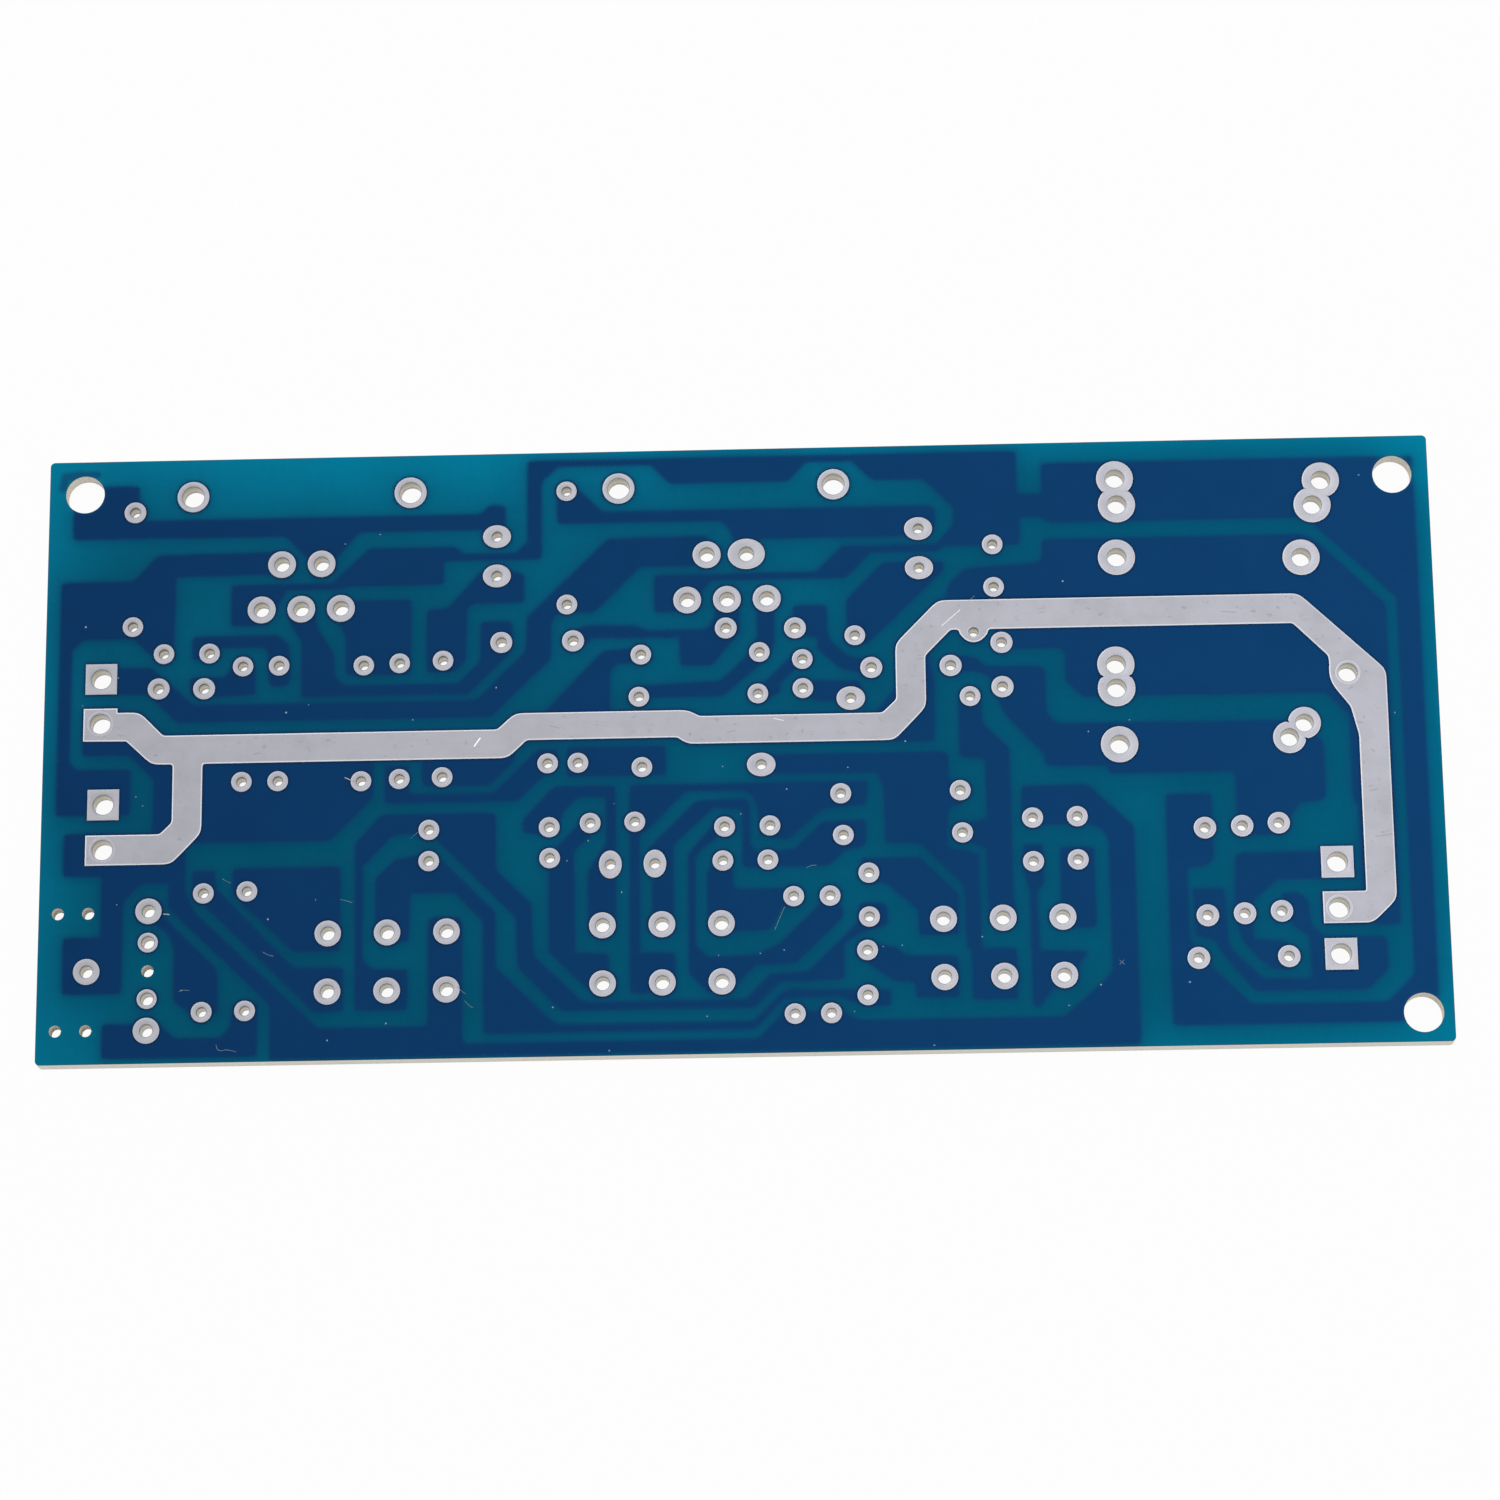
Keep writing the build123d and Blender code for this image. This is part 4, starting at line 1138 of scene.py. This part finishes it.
def makeBus():
    # foot, wall, rounding, the painted highlight band, then the flat top between that band and the bores
    shape = busShape
    around, sides = len(busOutline), shape["boreSides"]
    bores = [circle(middle, radius + shape["boreGap"], sides)[::-1] for middle, radius in busHoles]
    steps = [(0.0, busLow), (0.0, busTop - shape["rounding"]),
             (0.35 * shape["rounding"], busTop - 0.3 * shape["rounding"]),
             (shape["rounding"], busTop), (shape["paintedHighlightBand"], busTop)]
    rings = [np.column_stack([inset(busOutline, shift), np.full(around, height)]) for shift, height in steps]
    wall = sides * len(bores)
    boreRings = [np.column_stack([np.concatenate(bores), np.full(wall, height)])
                 for height in (busTop, busLow)]
    vertices = np.concatenate(rings + boreRings)
    after = np.roll(np.arange(around), -1)
    faces = []
    for level in range(len(steps) - 1):
        below, above = level * around, (level + 1) * around
        faces += [(below + i, below + after[i], above + after[i], above + i) for i in range(around)]
    topBores, lowBores = len(steps) * around, len(steps) * around + wall
    for index in range(wall):
        follower = index - sides + 1 if index % sides == sides - 1 else index + 1
        faces.append((lowBores + index, lowBores + follower, topBores + follower, topBores + index))
    topMap = np.concatenate([np.arange(around) + (len(steps) - 1) * around, np.arange(topBores, lowBores)])
    lowMap = np.concatenate([np.arange(around), np.arange(lowBores, len(vertices))])
    faces += [tuple(topMap[face]) for face in sheetFaces([rings[-1][:, :2]] + bores)]
    faces += [tuple(lowMap[face][::-1]) for face in sheetFaces([rings[0][:, :2]] + bores)]
    mesh = newMesh("busTin", vertices.tolist(), [tuple(int(corner) for corner in face) for face in faces])
    # the foot, wall and rounding carry the painted highlight
    rim = np.repeat([1.0] * (len(steps) - 1) + [0.0], around)
    mark(mesh, "edge", np.concatenate([rim, np.zeros(len(vertices) - len(rim))]))
    mesh.shade_smooth()
    mesh.set_sharp_from_angle(angle=math.radians(shape["sharpFrom"]))
    mesh.materials.append(busFinish)
    made = stand("busTin", mesh)
    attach(made, "root")
    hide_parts("bus_tin")


makeBus()
print("bus made")


# dust, hairs and two splinters of tin have settled on the board
dustLook = {
    "colour": (0.16, 0.27, 0.36),
    "pale": (0.42, 0.52, 0.60),
    "size": 0.085 * mm,
    "squeeze": (0.6, 1.2),
    "flatness": 0.3,
    "cloud": 9000.0,
    "seed": 5,
    # places in millimetres, and each speck's size against the usual
    "specks": [
        (6.3, 33.6, 0.8), (3.3, 31.2, 0.6), (28.6, 46.0, 0.8), (25.6, 45.2, 0.7), (22.6, 30.9, 0.7),
        (38.6, 32.1, 1.0), (20.7, 30.25, 1.3), (31.5, 29.4, 0.9), (8.0, 23.1, 0.8), (8.6, 22.3, 0.7),
        (6.6, 13.7, 0.8), (12.2, 6.2, 0.9), (19.4, 12.2, 1.0), (23.4, 13.8, 0.7), (24.5, 1.7, 1.0),
        (29.4, 3.05, 1.4), (43.4, 4.2, 1.0), (48.1, 0.4, 0.9), (49.2, 14.0, 0.8), (44.6, 16.8, 0.8),
        (46.4, 18.5, 0.9), (48.6, 21.7, 0.7), (59.3, 20.6, 0.9), (57.8, 24.8, 0.8), (63.2, 22.7, 0.9),
        (68.4, 24.5, 0.8), (73.3, 26.7, 1.0), (62.0, 10.2, 1.0), (60.8, 8.5, 0.8), (62.8, 8.75, 0.8),
        (71.1, 8.9, 0.8), (72.7, 9.0, 0.7), (68.6, 3.4, 0.8), (56.3, 3.2, 0.9), (57.3, 8.4, 0.7),
        (79.4, 9.6, 0.9), (89.2, 5.3, 1.0), (86.5, 3.6, 1.0), (96.6, 5.4, 1.1), (88.8, 27.25, 0.9),
        (92.3, 28.2, 0.8), (114.7, 28.4, 0.9), (75.2, 0.4, 0.8), (3.4, 38.2, 1.3), (87.0, 40.6, 1.2),
        (112.6, 49.6, 1.1), (38.3, 41.6, 0.8)],
}
hairLook = {
    "thickness": 0.016 * mm,
    "hairs": [
        [(78.95, 39.0), (79.2, 39.2), (79.45, 39.45)],
        [(15.2, 1.5), (15.25, 1.1), (15.6, 0.95), (16.2, 1.1), (16.9, 0.85)],
        [(35.4, 6.1), (35.8, 5.6), (36.1, 5.5)], [(36.0, 4.9), (36.4, 4.4), (36.7, 4.3)],
        [(12.0, 6.1), (12.4, 6.3), (12.9, 6.15)], [(31.4, 19.0), (31.7, 19.3), (32.0, 19.5)],
        [(62.0, 10.4), (62.4, 11.4), (62.9, 12.5)], [(64.8, 15.8), (65.2, 16.1), (65.6, 16.0)],
        [(25.5, 13.8), (26.0, 13.7), (26.5, 13.5)], [(15.5, 15.8), (15.9, 15.5), (16.2, 15.4)],
        [(90.8, 7.4), (91.2, 7.0)], [(91.2, 7.4), (90.8, 7.0)], [(19.0, 9.4), (19.4, 9.1), (19.9, 9.0)]],
}
whiskerLook = {
    "thickness": 0.06 * mm,
    "whiskers": [[(10.55, 12.78), (10.85, 12.8), (11.1, 12.74)],
                 [(25.75, 24.42), (26.2, 24.2), (26.55, 24.05)]],
}


def makeDustFinish():
    finish = Finish("houseDust")
    cloud = finish.noise(dustLook["cloud"], 2.0, 0.6)
    return finish.put(Base_Color=finish.mix(dustLook["colour"], dustLook["pale"], cloud.ramp(0.35, 0.65)),
                      Roughness=0.85 + 0.1 * cloud)


def makeDustGrowth():
    growth = Growth("dustSpecks", {"Speck Size": "NodeSocketFloat", "Seed": "NodeSocketInt",
                                   "Finish": "NodeSocketMaterial"})
    speck = growth.node("GeometryNodeMeshIcoSphere", {}, {
        "Radius": growth.given("Speck Size"), "Subdivisions": 1})
    seed = growth.given("Seed")
    turned = growth.node("ShaderNodeCombineXYZ", {}, {"Z": growth.random(0.0, math.tau, seed)})
    size = growth.named("size")
    squeezed = size * growth.random(*dustLook["squeeze"], seed + 1.0)
    scale = growth.node("ShaderNodeCombineXYZ", {}, {
        "X": size, "Y": squeezed, "Z": size * dustLook["flatness"]})
    spread = growth.node("GeometryNodeInstanceOnPoints", {}, {
        "Points": growth.given("Geometry"), "Instance": speck.outputs[0],
        "Rotation": turned.outputs[0], "Scale": scale.outputs[0]})
    growth.finish(spread.outputs[0])
    return growth


def surfaceHeight(x, y):
    # where a thing lies at a place on the board: on the mask, or on the tin
    place = onBoard(x, y)
    here = np.array([[place.x, place.y]])
    return busTop if sampled(tinDrawing, here)[0] > 0.5 else maskHeight(here)[0]


def addDust():
    points = [onBoard(x, y, surfaceHeight(x, y)) for x, y, size in dustLook["specks"]]
    made = makeDustGrowth().grow(
        "dust", points, {"Speck Size": dustLook["size"], "Seed": dustLook["seed"], "Finish": dustFinish},
        {"size": [size for x, y, size in dustLook["specks"]]})
    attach(made, "root")


# how far a thread's middle lies over the surface in its thickness, and how far it may stand over the bus
threadLook = {"lift": 0.7, "headroom": 0.03 * mm, "order": 3, "steps": 5, "weld": 1e-8}


def addThreads(name, lines, thickness, material):
    # thin round threads that lie on the board, all in one mesh
    data = bpy.data.curves.new(name, "CURVE")
    data.dimensions = "3D"
    data.bevel_depth = thickness
    data.bevel_resolution = 1
    data.use_fill_caps = True
    highest = busTop + threadLook["headroom"] - thickness
    for line in lines:
        spline = data.splines.new("NURBS")
        spline.points.add(len(line) - 1)
        for point, (x, y) in zip(spline.points, line):
            height = min(surfaceHeight(x, y) + threadLook["lift"] * thickness, highest)
            point.co = (*onBoard(x, y, height), 1.0)
        spline.order_u = threadLook["order"]
        spline.use_endpoint_u = True
        spline.resolution_u = threadLook["steps"]
    mesh = meshOf(stand(name + "Line", data), name)
    welded = bmesh.new()
    welded.from_mesh(mesh)
    bmesh.ops.remove_doubles(welded, verts=welded.verts, dist=threadLook["weld"])
    bmesh.ops.recalc_face_normals(welded, faces=welded.faces)
    welded.to_mesh(mesh)
    welded.free()
    mesh.materials.clear()
    mesh.materials.append(material)
    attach(stand(name, mesh), "root")


dustFinish = makeDustFinish()
addDust()
addThreads("hairs", hairLook["hairs"], hairLook["thickness"], dustFinish)
addThreads("whiskers", whiskerLook["whiskers"], whiskerLook["thickness"], landFinish)
print("dust, hairs and whiskers laid")


floorLook = {
    "size": 1.6,
    "gap": 0.04 * mm,
    "colour": (0.90, 0.90, 0.90),
    "paler": (0.94, 0.94, 0.94),
    "cloud": 8.0,
    "glow": 0.945,     # the share of plain white where the camera looks
}
white = (1.0, 1.0, 1.0)


def makeFloor():
    half = floorLook["size"] / 2
    height = cadBounds[0][2] - floorLook["gap"]
    corners = [(-half, -half, height), (half, -half, height), (half, half, height), (-half, half, height)]
    mesh = newMesh("floor", corners, [(0, 1, 2, 3)])
    finish = Finish("paleFloor", Roughness=0.9)
    cloud = finish.noise(floorLook["cloud"], 2.0, 0.5)
    finish.put(Base_Color=finish.mix(floorLook["colour"], floorLook["paler"], cloud))
    glow = finish.node("ShaderNodeEmission", {}, {"Color": white, "Strength": 1.0})
    blend = finish.node("ShaderNodeMixShader", {}, {
        0: finish.seen() * floorLook["glow"], 1: finish.shader.outputs[0], 2: glow.outputs[0]})
    finish.join(finish.output.inputs["Surface"], blend.outputs[0])
    mesh.materials.append(finish.material)
    stand("floor", mesh)


makeFloor()

studio = {
    "worldLight": 0.55,
    "lamps": {
        "keyLamp": {"place": (-0.35, 0.45, 0.85), "size": 0.7, "power": 2.4},
        "fillLamp": {"place": (0.55, -0.25, 0.75), "size": 0.8, "power": 1.5},
    },
}


def makeStudio():
    world = bpy.data.worlds.new("studio")
    bpy.context.scene.world = world
    world.use_nodes = True
    plan = Plan(world.node_tree)
    light = plan.node("ShaderNodeBackground", {}, {"Color": white, "Strength": studio["worldLight"]})
    backdrop = plan.node("ShaderNodeBackground", {}, {"Color": white, "Strength": 1.0})
    mixed = plan.node("ShaderNodeMixShader", {}, {
        0: plan.seen(), 1: light.outputs[0], 2: backdrop.outputs[0]})
    plan.node("ShaderNodeOutputWorld", {}, {"Surface": mixed.outputs[0]})
    for name, look in studio["lamps"].items():
        data = bpy.data.lights.new(name, "AREA")
        data.size = look["size"]
        data.energy = look["power"]
        lamp = stand(name, data)
        lamp.location = look["place"]
        lamp.rotation_euler = (-Vector(look["place"])).to_track_quat("-Z", "Y").to_euler()


makeStudio()

cameraLook = {
    "aimAt": (0.851 * mm, 0.096 * mm, 0.0),
    "sideways": math.radians(5.186),
    "upward": math.radians(74.512),
    "roll": math.radians(-0.699),
    "distance": 0.42096,
    "lens": 118.8,
    "sensor": 36.0,
    "nearest": 0.01,
}


def makeCamera():
    look = cameraLook
    back = Vector((math.cos(look["upward"]) * math.sin(look["sideways"]),
                   -math.cos(look["upward"]) * math.cos(look["sideways"]), math.sin(look["upward"])))
    right = (-back).cross(Vector((0, 1, 0))).normalized()
    up = right.cross(-back)
    turnedRight = right * math.cos(look["roll"]) + up * math.sin(look["roll"])
    turnedUp = up * math.cos(look["roll"]) - right * math.sin(look["roll"])
    data = bpy.data.cameras.new("camera")
    data.lens = look["lens"]
    data.sensor_width = look["sensor"]
    data.clip_start = look["nearest"]
    camera = stand("camera", data)
    turned = Matrix((turnedRight, turnedUp, back)).transposed().to_4x4()
    camera.matrix_world = Matrix.Translation(Vector(look["aimAt"]) + back * look["distance"]) @ turned
    bpy.context.scene.camera = camera


makeCamera()
bpy.context.scene.view_settings.view_transform = "Standard"
print("studio set")
